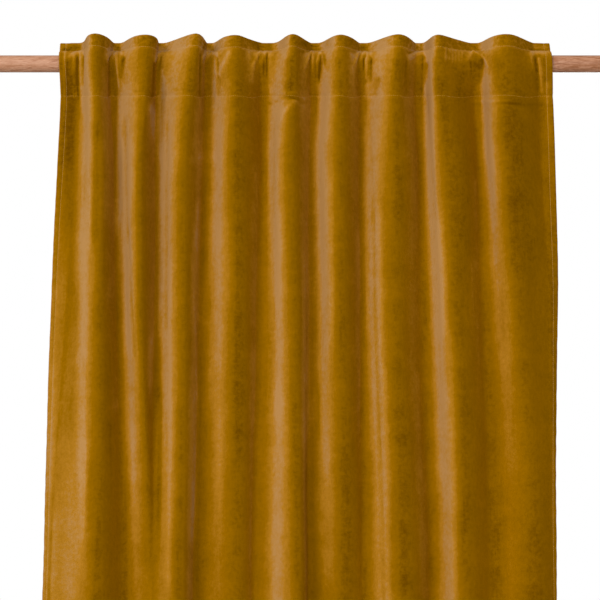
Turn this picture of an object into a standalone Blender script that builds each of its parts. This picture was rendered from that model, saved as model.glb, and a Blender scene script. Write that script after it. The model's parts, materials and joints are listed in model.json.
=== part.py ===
"""Velvet curtain hung by back tabs on a round wooden rod.

Metres, +Z up. The origin is the middle of the rod's axis, the rod runs along X and the face of the
curtain looks toward -Y. Places across the cloth are given in millimetres from the middle, depths in
millimetres in front of the rod's axis, and a row of cloth is named by its drop below the top edge.
"""

import math
from collections import namedtuple

import bmesh
import bpy
import numpy as np

MM = 0.001

ROD_DIAMETER = 28.0
ROD_LENGTH = 1200.0
ROD_SIDES = 56
ROD_EDGE = 1.5
ROD_SMOOTH_BELOW = math.radians(40)

TOP = 35.0
DROP = 2400.0
HEADER = 19.0
HEADING = 82.0
BOTTOM_HEM = 100.0
CLOTH_THICK = 2.0

TAPE_THICK = 1.2
TAPE_LIP = 3.0

TAB_WIDTH = 20.0
TAB_THICK = 1.2

GAP = 0.3

# A cubic B-spline passes inside its control points, so a crest is asked for a little further out.
CREST_REACH = 1.12
SHOULDER_SHARE = 0.78
FALL_SHARE = 0.52

# The control points across one valley: their place as a share of its half width, and how far the
# cloth has already risen there toward the crest on their side.
ValleyPoint = namedtuple("ValleyPoint", "share lift")
VALLEY_POINTS = (
    ValleyPoint(-0.5, 0.06),
    ValleyPoint(-0.1, 0.0),
    ValleyPoint(0.5, 0.02),
    ValleyPoint(1.7, 0.12),
)

# One row for each fold from left to right: the valley on its left and half the valley's width, the
# shoulder that ends its left flank, its crest, where its right flank falls, and its depth and floor.
Fold = namedtuple("Fold", "valley half shoulder crest fall depth floor")
# The cloth beyond the outer folds: the last valley with its floor, and both side edges with theirs.
Ends = namedtuple("Ends", "left left_depth valley half floor right right_depth")
# A row of cloth: its drop, whether its valleys hang open (1) or are held flat by the tabs (0).
Station = namedtuple("Station", "drop open folds ends")

AT_TOP = Station(
    drop=0.0,
    open=0.0,
    folds=(
        Fold(-385, 12, -356, -338, -322, 49, 5),
        Fold(-314, 8, -281, -254, -241, 43, 5),
        Fold(-240, 7, -190, -174, -166, 49, 5),
        Fold(-160, 7, -133, -108, -98, 41, 5),
        Fold(-66, 13, -30, -17, -6, 46, 5),
        Fold(13, 9, 46, 61, 78, 43, 5),
        Fold(94, 9, 138, 156, 171, 45, 5),
        Fold(186, 8, 208, 219, 238, 43, 5),
        Fold(277, 9, 306, 334, 352, 46, 5),
    ),
    ends=Ends(-404, 5, 381, 8, 5, 404, 5),
)
AT_HEADING = Station(
    drop=HEADER + HEADING,
    open=0.0,
    folds=(
        Fold(-385, 12, -352, -336, -324, 48, 5),
        Fold(-316, 8, -279, -258, -249, 47, 5),
        Fold(-243, 7, -205, -184, -172, 49, 5),
        Fold(-162, 8, -128, -107, -88, 47, 5),
        Fold(-70, 9, -34, -18, -5, 49, 5),
        Fold(13, 8, 42, 60, 77, 48, 5),
        Fold(94, 8, 129, 149, 165, 50, 5),
        Fold(184, 9, 206, 222, 250, 48, 5),
        Fold(280, 8, 302, 329, 362, 51, 5),
    ),
    ends=Ends(-400, 5, 388, 9, 5, 406, 5),
)
AT_UPPER = Station(
    drop=205.0,
    open=1.0,
    folds=(
        Fold(-376, 7, -347, -327, -317, 51, 5),
        Fold(-309, 7, -279, -264, -253, 50, 6),
        Fold(-242, 7, -213, -193, -177, 51, 6),
        Fold(-163, 10, -133, -109, -87, 50, 6),
        Fold(-69, 8, -42, -21, -4, 51, 6),
        Fold(9, 8, 36, 60, 77, 50, 6),
        Fold(91, 7, 122, 151, 172, 51, 6),
        Fold(187, 8, 209, 238, 264, 50, 7),
        Fold(283, 8, 304, 332, 362, 50, 7),
    ),
    ends=Ends(-403, 2, 385, 7, 6, 407, 8),
)
AT_MIDDLE = Station(
    drop=440.0,
    open=1.0,
    folds=(
        Fold(-384, 6, -346, -325, -314, 48, 5),
        Fold(-302, 8, -275, -260, -250, 48, 9),
        Fold(-240, 7, -211, -190, -177, 49, 9),
        Fold(-166, 10, -129, -103, -87, 46, 9),
        Fold(-73, 12, -34, -13, -1, 49, 12),
        Fold(10, 9, 38, 61, 78, 47, 9),
        Fold(91, 8, 120, 148, 168, 49, 9),
        Fold(189, 10, 220, 243, 268, 49, 9),
        Fold(288, 12, 322, 344, 366, 44, 10),
    ),
    ends=Ends(-412, -13, 393, 5, 10, 408, 5),
)
AT_LOW = Station(
    drop=885.0,
    open=1.0,
    folds=(
        Fold(-404, 5, -352, -319, -303, 46, -6),
        Fold(-287, 7, -257, -244, -241, 28, 12),
        Fold(-236, 6, -207, -189, -180, 51, 31),
        Fold(-171, 13, -127, -103, -88, 34, 13),
        Fold(-77, 13, -28, -7, 1, 51, 14),
        Fold(8, 12, 46, 66, 82, 31, 12),
        Fold(94, 10, 134, 162, 182, 51, 14),
        Fold(199, 11, 232, 255, 274, 48, 10),
        Fold(295, 12, 340, 366, 380, 38, 17),
    ),
    ends=Ends(-415, -15, 389, 4, 14, 394, 8),
)
# The folds stand out a little more at the foot, where the cloth hangs free.
FOOT_DEPTH = 7.0
AT_FOOT = AT_LOW._replace(
    drop=DROP,
    folds=tuple(fold._replace(depth=fold.depth + FOOT_DEPTH) for fold in AT_LOW.folds),
)
STATIONS = (AT_TOP, AT_HEADING, AT_UPPER, AT_MIDDLE, AT_LOW, AT_FOOT)

# The cloth's way down a tab: over the rod's front and back in under it.
TabRow = namedtuple("TabRow", "drop depth height")
TAB_WAY = (
    TabRow(0.0, -8.0, 37.0),
    TabRow(10.0, -3.5, 29.0),
    TabRow(19.0, 1.5, 21.0),
    TabRow(27.0, 9.0, 17.5),
    TabRow(36.0, 15.0, 10.5),
    TabRow(46.0, 17.6, 0.0),
    TabRow(62.0, 15.8, -16.0),
    TabRow(82.0, 10.0, -36.0),
    TabRow(101.0, 5.0, -55.0),
)

# How far the folds stand out down the heading, as a share of their depth.
BowRow = namedtuple("BowRow", "drop share")
BOW = (
    BowRow(0.0, 1.04),
    BowRow(19.0, 1.06),
    BowRow(55.0, 1.08),
    BowRow(101.0, 1.0),
    BowRow(2400.0, 1.0),
)

# Where a tab lies on the rod, in degrees up from the front, over its top and down its back.
LOOP_FIRST = 104.0
LOOP_LAST = 196.0
LOOP_ARCS = 8
# How far a tab hangs slack behind its straight way from the rod to the lower seam.
LOOP_SLACK = 1.5

# Rows of the meshes, as drops below the top edge.
PANEL_ROWS = (0, 10, 19, 27, 36, 46, 62, 82, 101, 125, 160, 205, 260, 340, 440, 560, 710, 885, 1500)
PANEL_ROWS += (DROP - BOTTOM_HEM, DROP)
TAPE_ROWS = (16, 19, 27, 36, 46, 62, 82, 101, 104)
# Columns of cloth between the control points of one fold, and beyond the last fold.
FOLD_COLUMNS = (0.0, 1.5, 3.0, 3.5, 4.0, 4.5, 5.0, 6.0, 6.5)
END_COLUMNS = (0.0, 1.5, 3.0, 4.0)
# Steps down and across, in millimetres and in control points, over which a normal is read.
ROW_STEP = 0.5
COLUMN_STEP = 0.02
SMOOTH_BELOW = math.radians(50)

VELVET_COLOUR = (0.22, 0.095, 0.003)
TAPE_COLOUR = (0.42, 0.25, 0.06)
WOOD_COLOUR = (0.55, 0.28, 0.16)


def smooth_between(places, values, at):
    """Cubic curve through values (rows) at rising places, read at one place, flat at both ends."""
    places = np.asarray(places, float)
    values = np.asarray(values, float)
    at = min(max(at, places[0]), places[-1])
    i = min(int(np.searchsorted(places, at, side="right")) - 1, len(places) - 2)
    slopes = np.zeros_like(values)
    for k in range(1, len(places) - 1):
        slopes[k] = (values[k + 1] - values[k - 1]) / (places[k + 1] - places[k - 1])
    span = places[i + 1] - places[i]
    t = (at - places[i]) / span
    return (
        (2 * t**3 - 3 * t**2 + 1) * values[i]
        + (t**3 - 2 * t**2 + t) * span * slopes[i]
        + (3 * t**2 - 2 * t**3) * values[i + 1]
        + (t**3 - t**2) * span * slopes[i + 1]
    )


def valley_points(centre, half, floor, rises):
    """Control points of one valley, as (place, depth, 1), where the 1 marks cloth held by a tab."""
    left_rise, right_rise = rises
    return [
        (
            centre + point.share * half,
            floor + point.lift * (left_rise if point.share < 0 else right_rise),
            1.0,
        )
        for point in VALLEY_POINTS
    ]


def control_points(station):
    """Control points across the cloth at one station, as rows of (place, depth, held)."""
    ends = station.ends
    next_floors = [fold.floor for fold in station.folds[1:]] + [ends.floor]
    before = ends.left_depth
    points = [(ends.left, ends.left_depth, 1.0)]
    for fold, next_floor in zip(station.folds, next_floors):
        rise = (fold.depth - fold.floor) * CREST_REACH
        reach = fold.floor + rise
        rises = ((before - fold.floor) * station.open, rise * station.open)
        points += valley_points(fold.valley, fold.half, fold.floor, rises)
        points.append((fold.shoulder, fold.floor + rise * SHOULDER_SHARE, 0.0))
        points.append((fold.crest, reach, 0.0))
        points.append((fold.fall, next_floor + (reach - next_floor) * FALL_SHARE, 0.0))
        before = reach
    rises = ((before - ends.floor) * station.open, (ends.right_depth - ends.floor) * station.open)
    points += valley_points(ends.valley, ends.half, ends.floor, rises)
    points.append((ends.right, ends.right_depth, 1.0))
    return np.array(points)


NETS = [control_points(station) for station in STATIONS]
NET_DROPS = [station.drop for station in STATIONS]


def net_at(drop):
    """Control points (x, y, z) in millimetres across the cloth at one drop below its top edge."""
    places, depths, held = smooth_between(NET_DROPS, NETS, drop).T
    depths = depths * smooth_between([row.drop for row in BOW], [row.share for row in BOW], drop)
    tab_depth, tab_height = smooth_between(
        [row.drop for row in TAB_WAY], [(row.depth, row.height) for row in TAB_WAY], drop
    )
    heights = np.full_like(places, TOP - drop)
    sewn = HEADER + HEADING
    if drop <= sewn:
        depths = np.where(held > 0.5, tab_depth, depths)
        heights = np.where(held > 0.5, tab_height, heights)
    else:
        lift = (tab_height - (TOP - sewn)) * (DROP - drop) / (DROP - sewn)
        heights = heights + lift * held
    return np.stack([places, -depths, heights], axis=1)


def along_net(net, at):
    """Point of the uniform cubic B-spline of a net at a place counted in control points."""
    net = np.vstack([2 * net[0] - net[1], net, 2 * net[-1] - net[-2]])
    i = min(int(at), len(net) - 4)
    t = at - i
    weights = np.array(
        [(1 - t) ** 3, 3 * t**3 - 6 * t**2 + 4, -3 * t**3 + 3 * t**2 + 3 * t + 1, t**3]
    )
    return weights @ net[i : i + 4] / 6


def cloth_columns():
    """Places across the cloth, counted in control points, where the mesh has its columns."""
    step = len(VALLEY_POINTS) + 3
    places = [0.0]
    for number in range(len(AT_HEADING.folds)):
        places += [1 + number * step + share for share in FOLD_COLUMNS]
    last = 1 + len(AT_HEADING.folds) * step
    return places + [last + share for share in END_COLUMNS]


def cloth_grid(rows, columns):
    """Middle surface of the cloth, as a grid of points in rows down and columns across."""
    return np.array([[along_net(net_at(row), column) for column in columns] for row in rows])


def grid_normals(rows, columns):
    """Unit normals of the cloth toward its face, from close neighbours on the middle surface."""
    normals = []
    last = columns[-1]
    for row in rows:
        above = net_at(max(row - ROW_STEP, 0.0))
        here = net_at(row)
        below = net_at(min(row + ROW_STEP, DROP))
        for column in columns:
            left = along_net(here, max(column - COLUMN_STEP, 0.0))
            right = along_net(here, min(column + COLUMN_STEP, last))
            down = along_net(below, column) - along_net(above, column)
            normal = np.cross(down, right - left)
            normals.append(normal / np.linalg.norm(normal))
    return np.array(normals).reshape(len(rows), len(columns), 3)


def add_material(obj, colour, roughness, metallic=0.0):
    material = bpy.data.materials.new(obj.name)
    material.use_nodes = True
    shader = material.node_tree.nodes["Principled BSDF"]
    shader.inputs["Base Color"].default_value = (*colour, 1.0)
    shader.inputs["Roughness"].default_value = roughness
    shader.inputs["Metallic"].default_value = metallic
    obj.data.materials.append(material)


def new_object(name, mesh, parent):
    obj = bpy.data.objects.new(name, mesh)
    bpy.context.scene.collection.objects.link(obj)
    obj.parent = parent
    return obj


def sheet_mesh(name, front, back):
    """Closed thin solid between two grids of points in millimetres, shaded smooth."""
    rows, columns = front.shape[:2]
    shell = bmesh.new()
    sides = [
        [[shell.verts.new(point * MM) for point in row] for row in grid] for grid in (front, back)
    ]
    for near, far in ((sides[0], False), (sides[1], True)):
        for r in range(rows - 1):
            for c in range(columns - 1):
                a, b = near[r][c], near[r][c + 1]
                d, e = near[r + 1][c], near[r + 1][c + 1]
                for face in ((a, d, e), (a, e, b)):
                    shell.faces.new(face[::-1] if far else face)
    front_verts, back_verts = sides
    rim = [(0, c) for c in range(columns)]
    rim += [(r, columns - 1) for r in range(1, rows)]
    rim += [(rows - 1, c) for c in range(columns - 2, -1, -1)]
    rim += [(r, 0) for r in range(rows - 2, 0, -1)]
    for (r0, c0), (r1, c1) in zip(rim, rim[1:] + rim[:1]):
        shell.faces.new(
            (front_verts[r0][c0], front_verts[r1][c1], back_verts[r1][c1], back_verts[r0][c0])
        )
    bmesh.ops.recalc_face_normals(shell, faces=shell.faces)
    mesh = bpy.data.meshes.new(name)
    shell.to_mesh(mesh)
    shell.free()
    mesh.shade_smooth()
    mesh.set_sharp_from_angle(angle=SMOOTH_BELOW)
    return mesh


def make_panel(parent):
    """The velvet panel in its folds, from the standing header to the bottom hem."""
    columns = cloth_columns()
    middle = cloth_grid(PANEL_ROWS, columns)
    outward = grid_normals(PANEL_ROWS, columns) * CLOTH_THICK / 2
    panel = new_object("panel", sheet_mesh("panel", middle + outward, middle - outward), parent)
    add_material(panel, VELVET_COLOUR, 0.85)


def make_tape(parent):
    """The heading tape sewn behind the panel along its two seams."""
    columns = cloth_columns()
    middle = cloth_grid(TAPE_ROWS, columns)
    outward = grid_normals(TAPE_ROWS, columns)
    near = CLOTH_THICK / 2 + GAP
    front = middle - outward * near
    back = middle - outward * (near + TAPE_THICK)
    tape = new_object("heading_tape", sheet_mesh("heading_tape", front, back), parent)
    add_material(tape, TAPE_COLOUR, 0.8)


def behind_tape(drop, column):
    """Middle line (depth, height) of a tab where it is sewn flat behind the tape."""
    middle = cloth_grid([drop], [column])[0, 0]
    outward = grid_normals([drop], [0.0, column])[0, 1]
    inward = CLOTH_THICK / 2 + GAP + TAPE_THICK + GAP + TAB_THICK / 2
    point = middle - outward * inward
    return (-point[1], point[2])


def loop_line():
    """Middle line of a tab, as points (depth, height) and unit normals away from the rod."""
    centre = 1 + (len(VALLEY_POINTS) - 1) / 2
    line = [behind_tape(HEADER - TAPE_LIP, centre), behind_tape(HEADER, centre)]
    reach = ROD_DIAMETER / 2 + GAP + TAB_THICK / 2
    for angle in np.linspace(math.radians(LOOP_FIRST), math.radians(LOOP_LAST), LOOP_ARCS + 1):
        line.append((reach * math.cos(angle), reach * math.sin(angle)))
    foot = HEADER + HEADING
    last, sewn = line[-1], behind_tape(foot - TAPE_LIP, centre)
    for share in (1 / 3, 2 / 3):
        depth, height = (start + (end - start) * share for start, end in zip(last, sewn))
        line.append((depth - LOOP_SLACK, height))
    line = np.array(line + [sewn, behind_tape(foot + TAPE_LIP, centre)])
    run = np.gradient(line, axis=0)
    run /= np.linalg.norm(run, axis=1)[:, None]
    return line, np.stack([run[:, 1], -run[:, 0]], axis=1)


def make_tabs(parent):
    """One short band for each valley, sewn at both seams, which the rod passes through."""
    line, away = loop_line()
    centres = [fold.valley for fold in AT_HEADING.folds] + [AT_HEADING.ends.valley]
    for number, centre in enumerate(centres, start=1):
        faces = []
        for side in (-0.5, 0.5):
            flat = line + away * TAB_THICK * side
            faces.append(
                np.array(
                    [
                        [(centre + half * TAB_WIDTH, -depth, height) for half in (-0.5, 0.5)]
                        for depth, height in flat
                    ]
                )
            )
        name = f"tab_{number:02d}"
        tab = new_object(name, sheet_mesh(name, *faces), parent)
        add_material(tab, TAPE_COLOUR, 0.8)


def make_rod(parent):
    """The round wooden rod with its edges eased."""
    rod_mesh = bmesh.new()
    bmesh.ops.create_cone(
        rod_mesh,
        cap_ends=True,
        segments=ROD_SIDES,
        radius1=ROD_DIAMETER / 2 * MM,
        radius2=ROD_DIAMETER / 2 * MM,
        depth=ROD_LENGTH * MM,
    )
    rims = [edge for edge in rod_mesh.edges if abs(edge.verts[0].co.z - edge.verts[1].co.z) < MM]
    bmesh.ops.bevel(rod_mesh, geom=rims, offset=ROD_EDGE * MM, segments=1, affect="EDGES")
    mesh = bpy.data.meshes.new("rod")
    rod_mesh.to_mesh(mesh)
    rod_mesh.free()
    mesh.shade_smooth()
    mesh.set_sharp_from_angle(angle=ROD_SMOOTH_BELOW)
    rod = new_object("rod", mesh, parent)
    rod.rotation_euler = (0.0, math.radians(90), 0.0)
    add_material(rod, WOOD_COLOUR, 0.55)


def main():
    for obj in list(bpy.data.objects):
        bpy.data.objects.remove(obj, do_unlink=True)
    frame = bpy.data.objects.new("curtain_frame", None)
    bpy.context.scene.collection.objects.link(frame)
    make_rod(frame)
    make_panel(frame)
    make_tape(frame)
    make_tabs(frame)


main()
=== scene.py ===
"""Looks of a gathered velvet curtain that hangs by back tabs from a round wooden rod.

The file is laid out as a Blender add-on and also runs as a script. Lengths in the tables are in
millimetres: places across the cloth from its middle, depths in front of the rod's axis, and drops
below the cloth's top edge. Lengths in the property groups are in metres, as Blender shows them.
"""

import json
import math
from collections import namedtuple

import bpy
import numpy as np
from bpy.props import FloatProperty, FloatVectorProperty, IntProperty, PointerProperty
from bpy.types import Operator, Panel, PropertyGroup
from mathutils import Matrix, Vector

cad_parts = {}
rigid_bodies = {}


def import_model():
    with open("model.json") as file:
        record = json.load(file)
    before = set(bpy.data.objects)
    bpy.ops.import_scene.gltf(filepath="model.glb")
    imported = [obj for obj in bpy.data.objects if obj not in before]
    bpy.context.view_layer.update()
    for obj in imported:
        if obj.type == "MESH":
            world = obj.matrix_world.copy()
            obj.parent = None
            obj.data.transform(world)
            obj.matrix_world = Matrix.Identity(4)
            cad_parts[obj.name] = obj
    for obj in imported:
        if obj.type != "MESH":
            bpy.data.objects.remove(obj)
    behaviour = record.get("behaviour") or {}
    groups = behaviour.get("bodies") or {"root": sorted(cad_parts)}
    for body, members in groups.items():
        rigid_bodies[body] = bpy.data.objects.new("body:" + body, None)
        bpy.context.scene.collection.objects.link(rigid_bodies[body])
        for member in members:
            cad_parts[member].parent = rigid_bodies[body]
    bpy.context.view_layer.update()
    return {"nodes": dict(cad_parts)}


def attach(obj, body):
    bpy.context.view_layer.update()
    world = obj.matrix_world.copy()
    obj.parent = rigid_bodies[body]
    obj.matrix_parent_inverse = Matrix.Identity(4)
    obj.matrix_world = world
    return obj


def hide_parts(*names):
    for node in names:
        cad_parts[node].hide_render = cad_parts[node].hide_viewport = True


bl_info = {
    "name": "Velvet Curtain",
    "version": (1, 0, 0),
    "blender": (4, 5, 0),
    "location": "View3D > Sidebar > Curtain",
    "description": "Dresses a gathered velvet curtain on a wooden rod",
    "category": "Object",
}

for leftover in list(bpy.data.objects):
    bpy.data.objects.remove(leftover, do_unlink=True)

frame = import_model()

MM = 0.001

# The cloth's shape, with the same sizes as the solids.
TOP = 35.0
DROP = 2400.0
HEADER = 19.0
HEADING = 82.0
SEAM_2 = HEADER + HEADING
# How far the pile of the lower seam swallows its stitches.
LOWER_SEAM_SUNK = 0.18
BOTTOM_HEM = 100.0
ROD_DIAMETER = 28.0
# How far past a crest its control point stands, and how high those on its two flanks do.
CREST_REACH = 1.12
SHOULDER_SHARE = 0.78
FALL_SHARE = 0.52

ValleyPoint = namedtuple("ValleyPoint", "share lift")
VALLEY_POINTS = (
    ValleyPoint(-0.5, 0.06),
    ValleyPoint(-0.1, 0.0),
    ValleyPoint(0.5, 0.02),
    ValleyPoint(1.7, 0.12),
)

# One row for each fold from left to right: the valley on its left and half the valley's width, the
# shoulder that ends its left flank, its crest, where its right flank falls, its depth and floor.
Fold = namedtuple("Fold", "valley half shoulder crest fall depth floor")
# The cloth beyond the outer folds: the last valley with its floor, and both side edges with theirs.
Ends = namedtuple("Ends", "left left_depth valley half floor right right_depth")
# A row of cloth: its drop, whether its valleys hang open (1) or are held flat by the tabs (0).
Station = namedtuple("Station", "drop open folds ends")

AT_TOP = Station(
    drop=0.0,
    open=0.0,
    folds=(
        Fold(-385, 12, -356, -338, -322, 49, 5),
        Fold(-314, 8, -281, -254, -241, 43, 5),
        Fold(-240, 7, -190, -174, -166, 49, 5),
        Fold(-160, 7, -133, -108, -98, 41, 5),
        Fold(-66, 13, -30, -17, -6, 46, 5),
        Fold(13, 9, 46, 61, 78, 43, 5),
        Fold(94, 9, 138, 156, 171, 45, 5),
        Fold(186, 8, 208, 219, 238, 43, 5),
        Fold(277, 9, 306, 334, 352, 46, 5),
    ),
    ends=Ends(-404, 5, 381, 8, 5, 404, 5),
)
AT_HEADING = Station(
    drop=SEAM_2,
    open=0.0,
    folds=(
        Fold(-385, 12, -352, -336, -324, 48, 5),
        Fold(-316, 8, -279, -258, -249, 47, 5),
        Fold(-243, 7, -205, -184, -172, 49, 5),
        Fold(-162, 8, -128, -107, -88, 47, 5),
        Fold(-70, 9, -34, -18, -5, 49, 5),
        Fold(13, 8, 42, 60, 77, 48, 5),
        Fold(94, 8, 129, 149, 165, 50, 5),
        Fold(184, 9, 206, 222, 250, 48, 5),
        Fold(280, 8, 302, 329, 362, 51, 5),
    ),
    ends=Ends(-400, 5, 388, 9, 5, 406, 5),
)
AT_UPPER = Station(
    drop=205.0,
    open=1.0,
    folds=(
        Fold(-376, 7, -347, -327, -317, 51, 5),
        Fold(-309, 7, -279, -264, -253, 50, 6),
        Fold(-242, 7, -213, -193, -177, 51, 6),
        Fold(-163, 10, -133, -109, -87, 50, 6),
        Fold(-69, 8, -42, -21, -4, 51, 6),
        Fold(9, 8, 36, 60, 77, 50, 6),
        Fold(91, 7, 122, 151, 172, 51, 6),
        Fold(187, 8, 209, 238, 264, 50, 7),
        Fold(283, 8, 304, 332, 362, 50, 7),
    ),
    ends=Ends(-403, 2, 385, 7, 6, 407, 8),
)
AT_MIDDLE = Station(
    drop=440.0,
    open=1.0,
    folds=(
        Fold(-384, 6, -346, -325, -314, 48, 5),
        Fold(-302, 8, -275, -260, -250, 48, 9),
        Fold(-240, 7, -211, -190, -177, 49, 9),
        Fold(-166, 10, -129, -103, -87, 46, 9),
        Fold(-73, 12, -34, -13, -1, 49, 12),
        Fold(10, 9, 38, 61, 78, 47, 9),
        Fold(91, 8, 120, 148, 168, 49, 9),
        Fold(189, 10, 220, 243, 268, 49, 9),
        Fold(288, 12, 322, 344, 366, 44, 10),
    ),
    ends=Ends(-412, -13, 393, 5, 10, 408, 5),
)
AT_LOW = Station(
    drop=885.0,
    open=1.0,
    folds=(
        Fold(-404, 5, -352, -319, -303, 46, -6),
        Fold(-287, 7, -257, -244, -241, 28, 12),
        Fold(-236, 6, -207, -189, -180, 51, 31),
        Fold(-171, 13, -127, -103, -88, 34, 13),
        Fold(-77, 13, -28, -7, 1, 51, 14),
        Fold(8, 12, 46, 66, 82, 31, 12),
        Fold(94, 10, 134, 162, 182, 51, 14),
        Fold(199, 11, 232, 255, 274, 48, 10),
        Fold(295, 12, 340, 366, 380, 38, 17),
    ),
    ends=Ends(-415, -15, 389, 4, 14, 394, 8),
)
FOOT_DEPTH = 7.0
AT_FOOT = AT_LOW._replace(
    drop=DROP,
    folds=tuple(fold._replace(depth=fold.depth + FOOT_DEPTH) for fold in AT_LOW.folds),
)
STATIONS = (AT_TOP, AT_HEADING, AT_UPPER, AT_MIDDLE, AT_LOW, AT_FOOT)

# The cloth's way down a tab: over the rod's front and back in under it.
TabRow = namedtuple("TabRow", "drop depth height")
TAB_WAY = (
    TabRow(0.0, -8.0, 37.0),
    TabRow(10.0, -3.5, 29.0),
    TabRow(19.0, 1.5, 21.0),
    TabRow(27.0, 9.0, 17.5),
    TabRow(36.0, 15.0, 10.5),
    TabRow(46.0, 17.6, 0.0),
    TabRow(62.0, 15.8, -16.0),
    TabRow(82.0, 10.0, -36.0),
    TabRow(101.0, 5.0, -55.0),
)
BowRow = namedtuple("BowRow", "drop share")
BOW = (
    BowRow(0.0, 1.04),
    BowRow(19.0, 1.06),
    BowRow(55.0, 1.08),
    BowRow(101.0, 1.0),
    BowRow(2400.0, 1.0),
)

# Where a tab lies on the rod, in degrees from the front over its top, and how slack it hangs below.
LOOP_FIRST = 104.0
LOOP_LAST = 196.0
LOOP_ARCS = 16
LOOP_SLACK = 1.5
SLACK_STEPS = 7
ROD_GAP = 0.3
TAB_WIDTH = 20.0
TAB_COLUMNS = 9
# How far the tape reaches past its two seams, and how far from the cloth's side edges it stops.
TAPE_LIP = 3.0
TAPE_INSET = 1.5

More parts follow.
